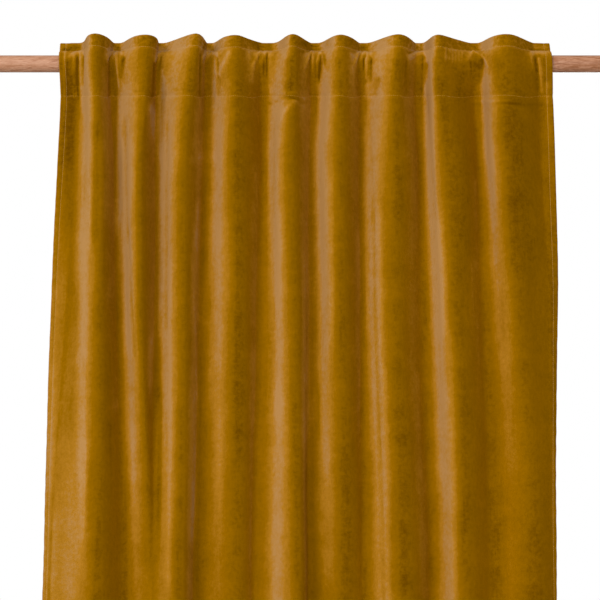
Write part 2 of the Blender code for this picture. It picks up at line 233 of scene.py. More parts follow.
# A stroke on the cloth from one place and drop to another: half its width, how far it stands out
# (below 0 for a trough), and how much lighter its colour is: painted light and shade on ridges,
# troughs and valleys, and elsewhere just lighter or darker. On the heading it fades toward its end.
# The creases are rows of these values in this order, each placed one by one.
Stroke = namedtuple("Stroke", "place0 drop0 place1 drop1 wide high tone")
# In the heading the tone of the creases is mostly painted light and shade: lighter on lips and
# ridges that face the light, darker in troughs and in the shadows where folds lap over.
HEADING_CREASES = (
    # The left end and its tab.
    (-394, 16, -374, 14, 6.5, 0, -0.7), (-394, 4, -395, 18, 1.8, 0.3, 0.35),
    (-397, 28, -378, 27, 1.6, 0.8, 0.5), (-368, 27, -391, 41, 3.6, 2.3, 0.85),
    (-394, 28, -394, 140, 1.8, 1.2, 0.45), (-390, 38, -390, 110, 2.2, -0.8, -0.21),
    (-382, 46, -381, 98, 5, -0.8, -0.12), (-378, 36, -379, 60, 1.8, 1.2, 0.3),
    (-372, 40, -373, 98, 2.2, -1, -0.14), (-367, 30, -366, 90, 1.8, 1.6, 0.1),
    (-362, 36, -362, 84, 1.7, -1.6, -0.95), (-380, 102, -380, 88, 1.6, 0.8, 0.25),
    (-375, 100, -375, 86, 1.6, 0.8, 0.25),
    # Second tab.
    (-310, 6, -321, 20, 2.2, 0.6, 0.35), (-320, 32, -321, 101, 1.7, -1.6, -0.6),
    (-317, 27, -324, 40, 2.3, 2.3, 0.55), (-309, 29, -315, 43, 2.3, 2.3, 0.55),
    (-302, 22, -300, 34, 2.4, 0.8, 0.3), (-316, 46, -316, 95, 4.5, -0.6, -0.15),
    (-310, 34, -304, 88, 1.7, 1.8, 0.85), (-296.5, 40, -300, 72, 3.4, -1.8, -0.95),
    (-292, 68, -293, 84, 3, -0.6, -0.15),
    # Third tab.
    (-247, 4, -245, 22, 3.5, 0, -0.35), (-246, 30, -245, 33, 2, -0.8, -0.38),
    (-234, 29, -246, 40, 2.5, 2.3, 0.55), (-236, 36, -239, 46, 1.8, 1.4, 0.5),
    (-246, 46, -249, 101, 1.7, -1.6, -0.6), (-241, 52, -241, 98, 3.5, -0.5, -0.12),
    (-236, 40, -238, 60, 2.2, -1.2, -0.6), (-221, 52, -223, 62, 4, -0.8, -0.12),
    (-222, 80, -216, 76, 2.6, -0.8, -0.13),
    # Fourth tab.
    (-164, 4, -168, 30, 1.8, -0.6, -0.65), (-170, 32, -172, 100, 1.7, -1.8, -0.65),
    (-159, 28, -168, 39, 2.3, 2.3, 0.55), (-153, 31, -159, 40, 2.1, 2.3, 0.55),
    (-150, 33, -142, 30, 2.1, 2, 0.55), (-142, 33, -140, 45, 1.9, 2, 0.55),
    (-144.5, 44, -145, 100, 1.9, 1.6, 0.3), (-141.5, 40, -142, 62, 1.8, -1.6, -0.34),
    (-161, 46, -161, 98, 4.5, -0.6, -0.21), (-122, 28, -139, 66, 4, 1, 0.5),
    (-143, 70, -143, 98, 3.5, -0.8, -0.35), (-132, 70, -128, 98, 7, -0.4, -0.12),
    # Fifth tab.
    (-84, 9, -48, 9, 6.5, 0, -0.45), (-71, 6, -71, 16, 2.6, 0.3, 0.3),
    (-52, 6, -53, 16, 2.6, 0.3, 0.3), (-92, 26, -91, 36, 2.2, 0.8, 0.3),
    (-73, 28, -86, 50, 2.3, 2.3, 0.55), (-62, 28, -71, 49, 2.2, 2.3, 0.55),
    (-66, 24, -46, 23, 2, 0.8, 0.4), (-84, 48, -88, 74, 2.6, 0.8, 0.2),
    (-76, 36, -74, 78, 1.7, -1.3, -0.26), (-67, 36, -67, 70, 1.7, -1.3, -0.3),
    (-62, 32, -62, 72, 1.7, -1.9, -0.68), (-55, 44, -44, 38, 2.2, -0.6, -0.12),
    # Sixth tab.
    (-1, 8, 20, 8, 6.5, 0, -0.4), (-3, 24, -4, 30, 2.2, 0, -0.27), (11, 28, -1, 53, 2.5, 2.5, 0.55),
    (12, 24, 24, 25, 1.8, 0.8, 0.4), (14, 34, 14, 62, 1.7, 1.6, 0.4),
    (27, 31, 20, 49, 2.2, 2.3, 0.55), (9, 36, 8, 96, 2.2, -1.6, -0.3),
    (18, 46, 18, 80, 2.2, -1, -0.18), (26, 36, 24, 78, 1.9, -2, -0.6),
    (31, 36, 32, 56, 1.7, 1.4, 0.05), (35, 42, 34, 50, 1.8, -0.8, -0.26),
    # Seventh tab.
    (78, 8, 88, 8, 6, 0, -0.12), (95, 10, 107, 10, 5, 0, -0.3), (91, 4, 91, 18, 1.8, 0.3, 0.35),
    (75, 28, 75, 42, 1.9, 1, 0.4), (89, 29, 80, 49, 2.3, 2.3, 0.55),
    (100, 29, 91, 45, 2.2, 2.3, 0.55), (103, 33, 105, 45, 1.9, 1.9, 0.55),
    (110, 31, 108, 43, 1.9, 1.9, 0.55), (88, 34, 87, 40, 1.4, -1, -0.34),
    (102, 42, 101, 74, 1.9, 1.6, 0.85), (97, 42, 96, 62, 1.7, -1.4, -0.6),
    (109, 42, 109, 78, 2, -2, -0.56), (87, 44, 87, 92, 2.6, -1, -0.21),
    (77, 50, 78, 84, 3, 0.5, 0.16), (121, 74, 115, 98, 4, -0.9, -0.42),
    # Eighth tab.
    (168, 6, 181, 12, 5, 0, -0.3), (189, 4, 189, 18, 1.8, 0.3, 0.3),
    (169, 28, 184, 21, 1.8, -0.6, -0.52), (200, 27, 168, 39, 3.7, 2.3, 0.55),
    (168, 34, 199, 34, 3.2, 0.6, 0.3), (165, 36, 164, 96, 1.8, -1.5, -0.38),
    (183, 56, 183, 98, 10, -0.4, -0.16), (197, 44, 196, 98, 1.7, 0.5, 0.05),
    (201, 50, 201, 74, 1.9, -1.5, -0.3),
    # Ninth tab, one broad pucker with smaller gathers to its left.
    (229, 20, 228, 44, 1.7, 0.8, 0.44), (236, 21, 235, 40, 1.7, 0.8, 0.4),
    (241, 21, 240, 44, 1.7, 0.9, 0.47), (246, 22, 246, 44, 1.7, 0.9, 0.44),
    (252, 24, 251, 42, 1.7, 0.8, 0.4), (258, 26, 257, 44, 1.7, 0.8, 0.4),
    (262, 52, 250, 98, 9, -0.4, -0.22), (277, 28, 267, 43, 2.3, 2.5, 0.55),
    (278, 29, 292, 39, 2.3, 2.5, 0.55), (292, 36, 300, 54, 1.9, 1.6, 0.5),
    (281, 38, 281, 68, 5, -1, -0.1), (293, 40, 292, 62, 2.6, -1.3, -0.28),
    (272, 46, 272, 76, 1.6, -1.2, -0.34),
    # The right end and its tab.
    (373, 16, 400, 15, 1.8, -0.6, -0.55), (374, 8, 398, 8, 6, 0, 0),
    (374, 26, 400, 27, 2.6, 1.2, 0.5), (371, 29, 373, 55, 2, 1.9, 0.65),
    (373, 52, 379, 72, 1.7, 0.9, 0.25), (379, 42, 381, 90, 3.6, -1.5, -0.3),
    (385, 42, 390, 94, 2.1, 1.8, 0.6), (392, 42, 393, 94, 1.7, -1.2, -0.3),
    (397, 34, 398, 150, 1.8, 1, 0.22),
    # The band of cloth that swells out under the upper seam at each tab, with a painted highlight
    # on it.
    (-393, 27, -381, 26, 2.4, 0, -0.4), (-322, 32, -304, 31, 4.5, 0.8, 0.45),
    (-246, 32, -234, 31, 4, 0.6, 0.35), (-164, 32, -146, 31, 4.5, 0.8, 0.45),
    (-80, 32, -58, 31, 4.5, 0.6, 0.35), (3, 32, 25, 31, 4, 0.6, 0.4),
    (82, 32, 110, 31, 4, 0.6, 0.4), (172, 34, 198, 32, 4.5, 0.6, 0.4),
    (376, 31, 402, 31, 5, 0.8, 0.5),
    # Where the pile in the valleys at the tabs catches more of the light, or less.
    (-318, 20, -322, 36, 6, 0, 0.5), (31, 36, 25, 76, 3.4, 0, -0.35),
    (25, 50, 22, 80, 3.2, 0, -0.35), (-238, 14, -233, 34, 8, 0, 0.35),
    (-159, 20, -162, 42, 6, 0, 0.35), (-68, 27, -69, 36, 4, 0, 0.3), (87, 22, 86, 50, 4, 0, 0.25),
    (101, 84, 100, 104, 3.5, 0, 0.35), (228, 36, 250, 37, 4, 0, 0.22),
    (289, 42, 287, 78, 4.5, 0, -0.12), (380, 16, 395, 16, 7, 0, 0.22),
    (198, 84, 197, 104, 3.4, 0, 0.3), (270, 28, 272, 54, 8, 0, 0.2),
    (291, 38, 288, 80, 4.5, 0, -0.4),
    # Where the folds between the tabs are coloured lighter or darker.
    (-139, 34, -140, 66, 4, 0, -0.25), (-120, 62, -118, 102, 14, 0, -0.1),
    (-32, 36, -33, 62, 3.5, 0, 0.2), (-28, 84, -29, 110, 6.5, 0, -0.36),
    (-88, 54, -88, 78, 5, 0.4, 0.16), (-206, 22, -216, 60, 12, 0, 0.35),
    (-27, 44, -28, 102, 7, 0, -0.45), (29, 42, 26, 70, 2.2, 0, -0.32),
    (111, 42, 110, 72, 1.8, 0, -0.32), (294, 48, 290, 76, 3.2, 0, -0.2),
    (290, 78, 288, 104, 5, 0, 0.22), (376, 42, 377, 62, 4, 0, -0.2),
    (126, 22, 120, 60, 12, 0, 0.35), (195, 40, 194, 94, 4, 0, -0.42),
    (300, 38, 301, 62, 5, 0, -0.3),
    # Small wrinkles just above the lower seam, with painted shade in their troughs and a painted
    # highlight on their ridge.
    (-274, 94, -252, 95, 1.8, -0.6, -0.19), (-210, 91, -188, 91, 1.6, -0.6, -0.22),
    (-32, 98, -8, 98, 2.4, 1.2, 0.25),
)
BODY_CREASES = (
    # Short wrinkles under the lower seam, with painted light on their ridges and painted shade in
    # their troughs.
    (-253, 120, -260, 140, 3.2, 0.5, 0.12), (-252, 120, -245, 140, 3.2, 0.5, 0.12),
    (-172, 108, -171, 122, 2.4, 0.4, 0.15), (-54, 114, -38, 108, 1.8, -0.8, -0.3),
    (-30, 104, -8, 109, 2.4, -1, -0.4), (-29, 110, -16, 112, 2.4, 0.8, 0.3),
    (-22, 117, -36, 132, 3, 1.2, 0.45), (282, 112, 318, 111, 2.4, 1, 0.25),
    (318, 114, 384, 117, 2.4, -0.6, -0.15), (284, 212, 320, 208, 3.4, 0.8, 0.2),
    (-198, 206, -142, 203, 3.4, 0.6, 0.18),
    # Small wrinkles left by folding, here and there, with painted light on their ridges and painted
    # shade in their troughs.
    (239, 324, 250, 321, 2, 0.5, 0.22), (231, 348, 246, 346, 2, 0.4, 0.12),
    (236, 364, 249, 362, 2, 0.5, 0.16), (73, 290, 82, 290, 2, -0.5, -0.18),
    (73, 347, 83, 347, 2, 0.6, 0.3), (-313, 612, -306, 611, 2, 0.5, 0.25),
    (-278, 583, -272, 582, 2.2, -0.5, -0.22), (-168, 652, -149, 662, 2, 0.5, 0.15),
    # Where the long folds are coloured a little lighter or darker, down the cloth.
    (-250, 128, -248, 154, 5, 0, 0.45), (-362, 640, -363, 770, 5, 0, -0.12),
    (-283, 365, -284, 500, 5, 0, 0.1), (-173, 295, -174, 400, 3.5, 0, 0.12),
    (-379, 770, -381, 940, 9, 0, -0.1), (-325, 800, -327, 940, 5, 0, -0.14),
    (-198, 850, -199, 900, 5, 0, -0.12), (-336, 165, -337, 330, 5.5, 0, -0.2),
    (-233, 200, -232, 500, 2.6, 0, 0.3), (-203, 270, -204, 345, 7, 0, -0.1),
    (-385, 270, -386, 420, 8, 0, 0.08), (-370, 250, -371, 370, 5, 0, -0.12),
    # Long soft troughs down the lit flanks, with painted shade in them.
    (-292, 150, -284, 330, 2.6, -0.7, -0.22), (-284, 330, -270, 520, 2.6, -0.7, -0.22),
    (-223, 150, -221, 480, 2.4, -0.6, -0.18), (-49, 150, -48, 480, 2.4, -0.5, -0.15),
    (-357, 130, -354, 330, 2.4, -0.5, -0.18), (111, 300, 118.5, 660, 2.6, -0.8, -0.25),
    (119, 664, 122, 920, 2, -0.8, -0.18), (200, 108, 210, 300, 2.4, -0.7, -0.25),
    (208, 300, 216, 520, 2.4, -0.5, -0.08),
    # Thin troughs with a painted shadow line where a fold begins to lap over the next.
    (108.5, 170, 111, 300, 2.6, -0.4, -0.1), (-314, 520, -312, 620, 2.2, -0.5, -0.2),
    (-310, 640, -306, 900, 2.2, -0.6, -0.26), (2, 434, 2, 560, 2.4, -0.4, -0.12),
    (2, 584, 2, 920, 2.4, -0.8, -0.3),
    # Broad bands that are coloured lighter or darker.
    (-304, 116, -305, 320, 3.2, 0, 0.28), (-166, 190, -168, 230, 6, 0, 0.12),
    (-176, 290, -177, 350, 3, 0.4, 0.18), (-379, 322, -374, 420, 13, 0, -0.26),
    (-374, 442, -376, 600, 13, 0, -0.28), (-378, 622, -388, 720, 13, 0, -0.16),
    (-354, 690, -358, 830, 9, 0, 0.2), (-231, 590, -230, 790, 3.8, 0, -0.26),
    (-212, 620, -213, 880, 4.5, 0, 0.3), (-85, 540, -86, 920, 7, 0, 0.14),
    (-43, 620, -44, 1000, 13, 0, 0.28), (112, 480, 114, 940, 4, 0, 0.12),
    (126, 560, 130, 960, 5, 0, 0.22), (232, 500, 234, 900, 6, 0, 0.2),
    (-356, 330, -355, 660, 8.5, 0, 0.25), (-407, 560, -408, 720, 6, 0, 0.15),
    (-232, 480, -233, 600, 3.5, 0, -0.25), (-215, 400, -214, 600, 3.5, 0, 0.2),
    (217, 320, 220, 480, 8, 0, 0.28), (311, 300, 318, 480, 6, 0, -0.12),
    # Where the lit side of a fold is coloured a little lighter or darker.
    (-399, 680, -400, 900, 4, 0, 0.14), (-273, 650, -272, 740, 7, 0, 0.18),
    (211, 500, 212, 700, 5, 0, 0.1), (-348, 690, -349, 800, 4, 0, 0.18),
    (86, 560, 85, 720, 3, 0, 0.1), (202, 140, 203, 230, 3, 0, 0.1),
    # Painted light in the shaded valleys between the folds.
    (-303, 190, -302, 400, 4.5, 0, 0.22), (-177, 470, -178, 550, 5, 0, 0.16),
    (-183, 870, -184, 930, 4, 0, 0.2), (-303, 120, -306, 300, 7, 0, 0.12),
    (-241, 190, -240, 480, 8, 0, 0.22), (-176, 130, -177, 440, 7, 0, 0.2),
    (-179, 590, -180, 800, 8, 0, 0.28), (-81, 230, -80, 650, 8, 0, 0.14),
    (7, 110, 5, 620, 13, 0, 0.2), (179, 590, 180, 870, 8, 0, 0.18),
    # Faint upright ridges on the shaded side, with painted light on them.
    (-180, 380, -172, 620, 2.2, 0.5, 0.15), (-3, 350, -2, 520, 2.2, 0.5, 0.2),
    (267, 385, 267, 460, 2.2, 0.5, 0.25),
)

# Flat marks straight down the cloth: place, first drop, last drop, half width and tone.
HEADING_MARKS = (
    # Second tab.
    (-309, 8, 14, 2.8, -0.35),
    # Where the pile in the valleys at the tabs catches more of the light, or less.
    (-381, 34, 100, 4, 0.2), (-373, 40, 104, 3, -0.35), (-320, 40, 76, 3, 0.25),
    (-238, 18, 104, 8.5, 0.35), (-164, 10, 80, 11, 0.35), (-149, 78, 104, 2.6, 0.3),
    (-90, 15, 70, 9, 0.35), (-68, 50, 72, 3, -0.12), (-1, 30, 76, 5, 0.3), (-232, 76, 104, 5, 0.4),
    (-77, 42, 60, 3, 0.3), (197, 60, 84, 3.2, -0.1), (262, 44, 76, 12, 0.16),
    (385, 38, 56, 2.4, -0.3), (396, 40, 78, 2.4, -0.3), (399, 82, 104, 4, 0.3),
    (21, 78, 104, 3.4, 0.35), (79, 34, 56, 7, 0.35), (75, 56, 104, 8, 0.2),
    (104, 72, 104, 3.6, 0.35), (178, 8, 104, 11, 0.32), (199, 52, 84, 3.4, -0.2),
    (285, 84, 98, 3, 0.2), (390, 60, 102, 5.5, 0.25),
    # Where the folds between the tabs are coloured lighter or darker.
    (-259, 10, 50, 8, -0.12), (213, 74, 104, 4.5, -0.2), (-142, 5, 20, 7, -0.3),
    (36, 4, 14, 6, -0.2), (47, 28, 98, 3, -0.12), (133, 60, 104, 4, -0.1), (143, 28, 60, 7, 0.12),
    (212, 44, 104, 4, -0.22), (284, 4, 12, 6, -0.2), (307, 30, 74, 8, -0.2),
    (-234, 62, 98, 2.6, 0.45), (279, 50, 82, 5, -0.2), (-187, 44, 96, 6, -0.18),
    (-129, 56, 80, 6, -0.12), (-57, 30, 92, 4.5, 0.45), (54, 44, 92, 5, -0.18),
    (-370.5, 44, 118, 1.8, -0.4), (-131, 22, 40, 4, -0.22), (-138, 74, 100, 3, -0.3),
    (-143, 40, 58, 3.5, -0.22), (-106, 50, 108, 8, -0.12), (1, 74, 92, 4, -0.15),
    (38, 42, 60, 3, -0.18), (48, 80, 106, 4, -0.15), (213, 92, 110, 5, -0.12),
    (247, 44, 66, 4, -0.12), (391, 30, 44, 4, 0.26), (149, 44, 92, 6, -0.18),
    (313, 44, 92, 7, -0.32),
)
BODY_MARKS = (
    # Where the long folds are coloured a little lighter or darker, down the cloth.
    (-4, 104, 116, 5, 0.2), (57, 395, 510, 8, -0.1), (329, 605, 655, 3, -0.15),
    (-60, 465, 515, 4, 0.15), (155, 245, 285, 7, -0.12), (361, 215, 370, 22, -0.07),
    (76, 108, 160, 14, 0.07), (87, 350, 420, 4, 0.12), (-196, 640, 770, 5, -0.1),
    (-174, 740, 775, 6, 0.12), (37, 690, 765, 6, 0.12), (216, 650, 700, 14, 0.08),
    (328, 655, 690, 14, 0.08), (340, 850, 910, 18, -0.08), (135, 765, 870, 6, -0.1),
    (-232, 905, 940, 6, 0.12), (-106, 104, 240, 8, -0.1), (222, 104, 190, 9, -0.14),
    (-300, 180, 290, 3, 0.3), (-305, 320, 420, 8, 0.1), (-318, 434, 490, 4, 0.18),
    (-179, 214, 300, 3, -0.2), (-346, 262, 345, 3.2, 0.18), (-276, 285, 440, 4, -0.14),
    (-153, 443, 462, 4, -0.22), (-63, 222, 275, 3, -0.14), (85, 112, 500, 8, 0.08),
    (110, 335, 410, 4, 0.12), (126, 285, 370, 8, -0.1), (206, 110, 420, 4, 0.12),
    (96, 435, 505, 4, -0.16), (198, 450, 500, 5, -0.12), (318, 450, 485, 5, -0.16),
    (-367, 465, 505, 10, -0.12), (-347, 670, 790, 4, 0.28), (-229, 620, 840, 3.4, -0.2),
    (-272, 678, 714, 5, 0.16), (-152, 650, 735, 9, -0.12), (-134, 690, 762, 6, 0.12),
    (-108, 690, 800, 7, -0.1), (-16, 630, 715, 8, -0.12), (35, 755, 820, 6, -0.18),
    (36, 885, 935, 7, -0.18), (21, 600, 650, 3, -0.16), (119, 660, 940, 4, 0.12),
    (85, 500, 600, 5, 0.12), (221, 535, 600, 5, 0.1), (325, 514, 544, 9, 0.1),
    (151, 820, 870, 6, -0.15), (95, 880, 935, 6, -0.12),
    # Broad bands that are coloured lighter or darker.
    (-238, 116, 220, 3.2, 0.28), (5, 116, 150, 10, 0.12), (-385, 130, 290, 13, -0.12),
    (-271, 850, 1000, 8, -0.2), (-372, 780, 1000, 18, 0.2), (-136, 520, 640, 9, 0.12),
    (300, 104, 140, 9, -0.16), (262, 108, 330, 14, -0.12), (352, 126, 330, 26, -0.1),
    (-139, 340, 500, 10, 0.12), (-108, 330, 640, 9, -0.15), (-42, 330, 600, 8, 0.24),
    (42, 330, 480, 4, 0.18), (121, 300, 540, 4.5, 0.22),
    # Where the lit side of a fold is coloured a little lighter or darker.
    (-368, 130, 330, 4, -0.1), (-348, 460, 850, 6, 0.16), (-382, 790, 950, 8, -0.08),
    (-282, 750, 930, 4.5, -0.26), (-267, 810, 870, 5, 0.12), (-137, 650, 790, 9, 0.14),
    (-145, 410, 500, 6, -0.1), (-64, 170, 390, 4, -0.1), (-50, 520, 670, 4, -0.12),
    (-21, 530, 700, 4, -0.12), (36, 790, 870, 9, 0.14), (86, 330, 440, 5, 0.12),
    (194, 410, 490, 5, -0.12), (297, 265, 305, 5, -0.12), (313, 560, 660, 22, -0.1),
    (-118, 345, 385, 10, 0.1), (43, 250, 300, 4, 0.12),
    # Painted shade on the shaded side of a fold.
    (-252, 100, 116, 5, -0.12), (-338, 160, 320, 7, -0.15), (-156, 780, 860, 5, -0.12),
    (-16, 760, 870, 4, -0.12), (21, 590, 660, 4, -0.18), (244, 790, 850, 8, -0.12),
    (304, 850, 930, 12, -0.12), (-384, 104, 180, 14, -0.22), (-200, 820, 890, 5, -0.12),
    (-122, 160, 270, 15, -0.1), (57, 120, 220, 8, -0.08), (63, 740, 900, 13, -0.14),
    (149, 160, 270, 9, -0.12), (149, 660, 900, 18, -0.12), (241, 150, 480, 18, -0.09),
    (252, 590, 760, 9, -0.12), (332, 150, 300, 20, -0.1), (365, 820, 900, 16, -0.14),
    (398, 400, 640, 6, -0.15),
    # Painted light in the shaded valleys between the folds.
    (-238, 104, 150, 5, 0.25), (-156, 104, 155, 8, 0.18), (-165, 420, 510, 6, 0.16),
    (399, 115, 165, 4, 0.22), (-323, 104, 270, 12, 0.2), (-246, 500, 570, 4, 0.3),
    (0, 560, 650, 7, 0.15), (18, 670, 800, 20, 0.12), (98, 104, 165, 5, 0.2),
    (170, 130, 560, 11, 0.14), (275, 250, 600, 5, 0.12),
)

# Rows of the cloth, as (first drop, last drop, step) down each stretch.
Stretch = namedtuple("Stretch", "first last step")
ROW_STRETCHES = (
    Stretch(0.0, 16.0, 4.0),
    Stretch(19.0, 103.5, 2.6),
    Stretch(107.0, 137.0, 4.0),
    Stretch(148.0, 1000.0, 14.0),
    Stretch(1040.0, 2280.0, 124.0),
)
FOOT_ROWS = (2300.0, 2302.0, 2335.0, 2370.0, 2390.0, 2400.0)
HEADER_TURN_ROWS = (16.0, 8.0, 0.0)
HEM_TURN_ROWS = (2400.0, 2390.0, 2370.0, 2335.0, 2300.0)
# Distances from a side edge at which the cloth has a column, and those of its turned hem.
EDGE_COLUMNS = (0.0, TAPE_INSET, 3.0, 5.0, 7.0, 8.5, 10.0, 12.0, 15.0)
HEM_COLUMNS = (10.0, 7.0, 3.0, 0.0)
# The column and the row on which the hems are stitched, and the columns that are left free of
# stitches at each end of the tape and of the bottom hem.
HEM_STITCH_COLUMN = 8.5
HEM_STITCH_DROP = 2302.0
TAPE_STITCH_INSET = 10
FOOT_STITCH_INSET = 8
# Steps from the edge columns to the second pucker in from the edge, and points at which the run
# from the edge is measured.
EDGE_JOINS = 18
EDGE_PROBES = 60
TURN_ANGLES = (45.0, 90.0, 135.0)
# Drops at which the cloth is measured to space its columns, the first one in the heading.
PROBE_DROPS = (60.0, 300.0, 885.0)
# Longest step across the cloth where it is puckered, in FINE_SPANS, and on the smooth folds.
FINE_STEP = 1.9
FOLD_STEP = 5.5
# Below the heading only one of so many fine columns goes on.
FINE_THINNING = 3
SPARSE_DROP = 137.0
Span = namedtuple("Span", "first last")
FINE_SPANS = (
    Span(-404, -358),
    Span(-330, -297),
    Span(-254, -231),
    Span(-176, -138),
    Span(-95, -56),
    Span(-6, 37),
    Span(71, 114),
    Span(161, 205),
    Span(226, 302),
    Span(366, 405),
)

# Share of its strength that a stroke loses by its end, and how gently it runs out beyond its ends.
HEADING_FADE, HEADING_TAPER = 0.5, 1.0
BODY_FADE, BODY_TAPER = 0.0, 4.0
# How hard each row of stitches pulls the pile in, and half the width of the groove that it leaves.
SEAM_PULLS = ((HEADER, 1.0), (SEAM_2, 0.8))
SIDE_HEM_PULL, BOTTOM_HEM_PULL = 0.5, 0.7
SEAM_GROOVE_WIDTH, HEM_GROOVE_WIDTH = 1.3, 1.6
# How hard the side hems gather the cloth, and how far gathers reach from a seam and a side edge.
EDGE_GATHERS, SEAM_GATHER_REACH, EDGE_GATHER_REACH = 0.6, 7.0, 12.0
# Where the pile is roughed up: how much, down to what drop, and over what length it fades there.
CRUSHED = ((1.0, HEADER + 6.0, 12.0), (0.42, SEAM_2 + 25.0, 30.0))
EDGE_CRUSH, EDGE_CRUSH_REACH, LEAST_CRUSH = 0.6, 14.0, 0.3
# The drop down to which tape and tabs lie behind the turned header, the length over which the tape
# eases in from behind a turned layer, and the one over which a corner of the hems does.
TURNED_END, TURNED_EASE, CORNER_EASE = 24.0, 6.0, 8.0
# Painted highlight just below each seam: the seam, how much, how far below it and how wide.
PAINTED_SEAM_SHEEN = ((HEADER, 0.22), (SEAM_2, 0.10))
SHEEN_DROP, SHEEN_WIDTH = 1.2, 1.8
# Slow swells of the long folds: height, turns across and down the cloth, and where they start. They
# grow from nothing over some length below the lower seam.
SWELLS = (
    (0.88, 0.031, 0.0083, 0.6),
    (0.56, 0.057, -0.0142, 2.2),
    (0.28, 0.113, 0.031, 0.0),
)
SWELL_ONSET = 250.0


def smooth_between(places, values, at):
    """Cubic curve through values (rows) at rising places, read at one place, flat at both ends."""
    places = np.asarray(places, float)
    values = np.asarray(values, float)
    at = min(max(at, places[0]), places[-1])
    i = min(int(np.searchsorted(places, at, side="right")) - 1, len(places) - 2)
    slopes = np.zeros_like(values)
    for k in range(1, len(places) - 1):
        slopes[k] = (values[k + 1] - values[k - 1]) / (places[k + 1] - places[k - 1])
    span = places[i + 1] - places[i]
    t = (at - places[i]) / span
    return (
        (2 * t**3 - 3 * t**2 + 1) * values[i]
        + (t**3 - 2 * t**2 + t) * span * slopes[i]
        + (3 * t**2 - 2 * t**3) * values[i + 1]
        + (t**3 - t**2) * span * slopes[i + 1]
    )


def valley_points(centre, half, floor, rises):
    """Control points of one valley, as (place, depth, 1), where the 1 marks cloth held by a tab."""
    left_rise, right_rise = rises
    return [
        (
            centre + point.share * half,
            floor + point.lift * (left_rise if point.share < 0 else right_rise),
            1.0,
        )
        for point in VALLEY_POINTS
    ]


def control_points(station):
    """Control points across the cloth at one station, as rows of (place, depth, held)."""
    ends = station.ends
    next_floors = [fold.floor for fold in station.folds[1:]] + [ends.floor]
    before = ends.left_depth
    points = [(ends.left, ends.left_depth, 1.0)]
    for fold, next_floor in zip(station.folds, next_floors):
        rise = (fold.depth - fold.floor) * CREST_REACH
        reach = fold.floor + rise
        rises = ((before - fold.floor) * station.open, rise * station.open)
        points += valley_points(fold.valley, fold.half, fold.floor, rises)
        points.append((fold.shoulder, fold.floor + rise * SHOULDER_SHARE, 0.0))
        points.append((fold.crest, reach, 0.0))
        points.append((fold.fall, next_floor + (reach - next_floor) * FALL_SHARE, 0.0))
        before = reach
    rises = ((before - ends.floor) * station.open, (ends.right_depth - ends.floor) * station.open)
    points += valley_points(ends.valley, ends.half, ends.floor, rises)
    points.append((ends.right, ends.right_depth, 1.0))
    return np.array(points)


NETS = [control_points(station) for station in STATIONS]
NET_DROPS = [station.drop for station in STATIONS]
LAST_COLUMN = len(NETS[0]) - 1


def net_at(drop):
    """Control points (x, y, z) in millimetres across the cloth at one drop below its top edge."""
    places, depths, held = smooth_between(NET_DROPS, NETS, drop).T
    depths = depths * smooth_between([row.drop for row in BOW], [row.share for row in BOW], drop)
    tab_depth, tab_height = smooth_between(
        [row.drop for row in TAB_WAY], [(row.depth, row.height) for row in TAB_WAY], drop
    )
    heights = np.full_like(places, TOP - drop)
    if drop <= SEAM_2:
        depths = np.where(held > 0.5, tab_depth, depths)
        heights = np.where(held > 0.5, tab_height, heights)
    else:
        lift = (tab_height - (TOP - SEAM_2)) * (DROP - drop) / (DROP - SEAM_2)
        heights = heights + lift * held
    return np.stack([places, -depths, heights], axis=1)


def cloth_row(drop, columns):
    """Points of the cloth's middle surface at one drop, at places counted in control points."""
    net = net_at(drop)
    net = np.vstack([2 * net[0] - net[1], net, 2 * net[-1] - net[-2]])
    columns = np.asarray(columns, float)
    first = np.minimum(columns.astype(int), len(net) - 4)
    t = (columns - first)[:, None]
    weights = ((1 - t) ** 3, 3 * t**3 - 6 * t**2 + 4, -3 * t**3 + 3 * t**2 + 3 * t + 1, t**3)
    return sum(weight * net[first + k] for k, weight in enumerate(weights)) / 6


def lengths_along(points):
    """Distance along a line of points from its first point to each of them."""
    return np.concatenate([[0.0], np.cumsum(np.linalg.norm(np.diff(points, axis=0), axis=1))])


def inner_columns():
    """Places across the cloth between its two edge stretches, close together at the puckers."""
    probe_rows = [cloth_row(drop, np.arange(LAST_COLUMN + 1)) for drop in PROBE_DROPS]
    spans = np.max([np.linalg.norm(np.diff(row, axis=0), axis=1) for row in probe_rows], axis=0)
    middles = (probe_rows[0][1:, 0] + probe_rows[0][:-1, 0]) / 2
    places = []
    first = len(VALLEY_POINTS) + 1
    last = LAST_COLUMN - first
    for number in range(first, last):
        fine = any(span.first <= middles[number] <= span.last for span in FINE_SPANS)
        count = max(1, math.ceil(spans[number] / (FINE_STEP if fine else FOLD_STEP)))
        places += list(number + np.arange(count) / count)
    return np.array(places + [last])


def kept_columns(columns, drops):
    """Columns that go on below the heading: all on the smooth folds, fewer at the puckers."""
    row = int(np.abs(drops - PROBE_DROPS[0]).argmin())
    places = cloth_row(drops[row], columns[row])[:, 0]
    edges = len(EDGE_COLUMNS)
    keep, skipped = [], 0
    for number, place in enumerate(places):
        fine = any(span.first <= place <= span.last for span in FINE_SPANS)
        at_edge = number < edges or number >= len(places) - edges
        skipped = 0 if at_edge or not fine or skipped == FINE_THINNING - 1 else skipped + 1
        if skipped == 0:
            keep.append(number)
    return np.array(keep)


def row_columns(drop, inner):
    """Places of all columns at one drop: at set distances from both edges, then the inner ones."""
    joins = np.arange(1, EDGE_JOINS) / EDGE_JOINS
    sides = []
    for edge, end in ((0.0, inner[0]), (LAST_COLUMN, inner[-1])):
        probe = np.linspace(edge, end, EDGE_PROBES)
        side = np.interp(EDGE_COLUMNS, lengths_along(cloth_row(drop, probe)), probe)
        sides.append(np.concatenate([side, side[-1] + (end - side[-1]) * joins]))
    return np.concatenate([sides[0], inner, sides[1][::-1]])


def row_drops():
    """Drops of all rows of the panel."""
    drops = [np.arange(row.first, row.last + row.step / 20, row.step) for row in ROW_STRETCHES]
    return np.concatenate([*drops, FOOT_ROWS])


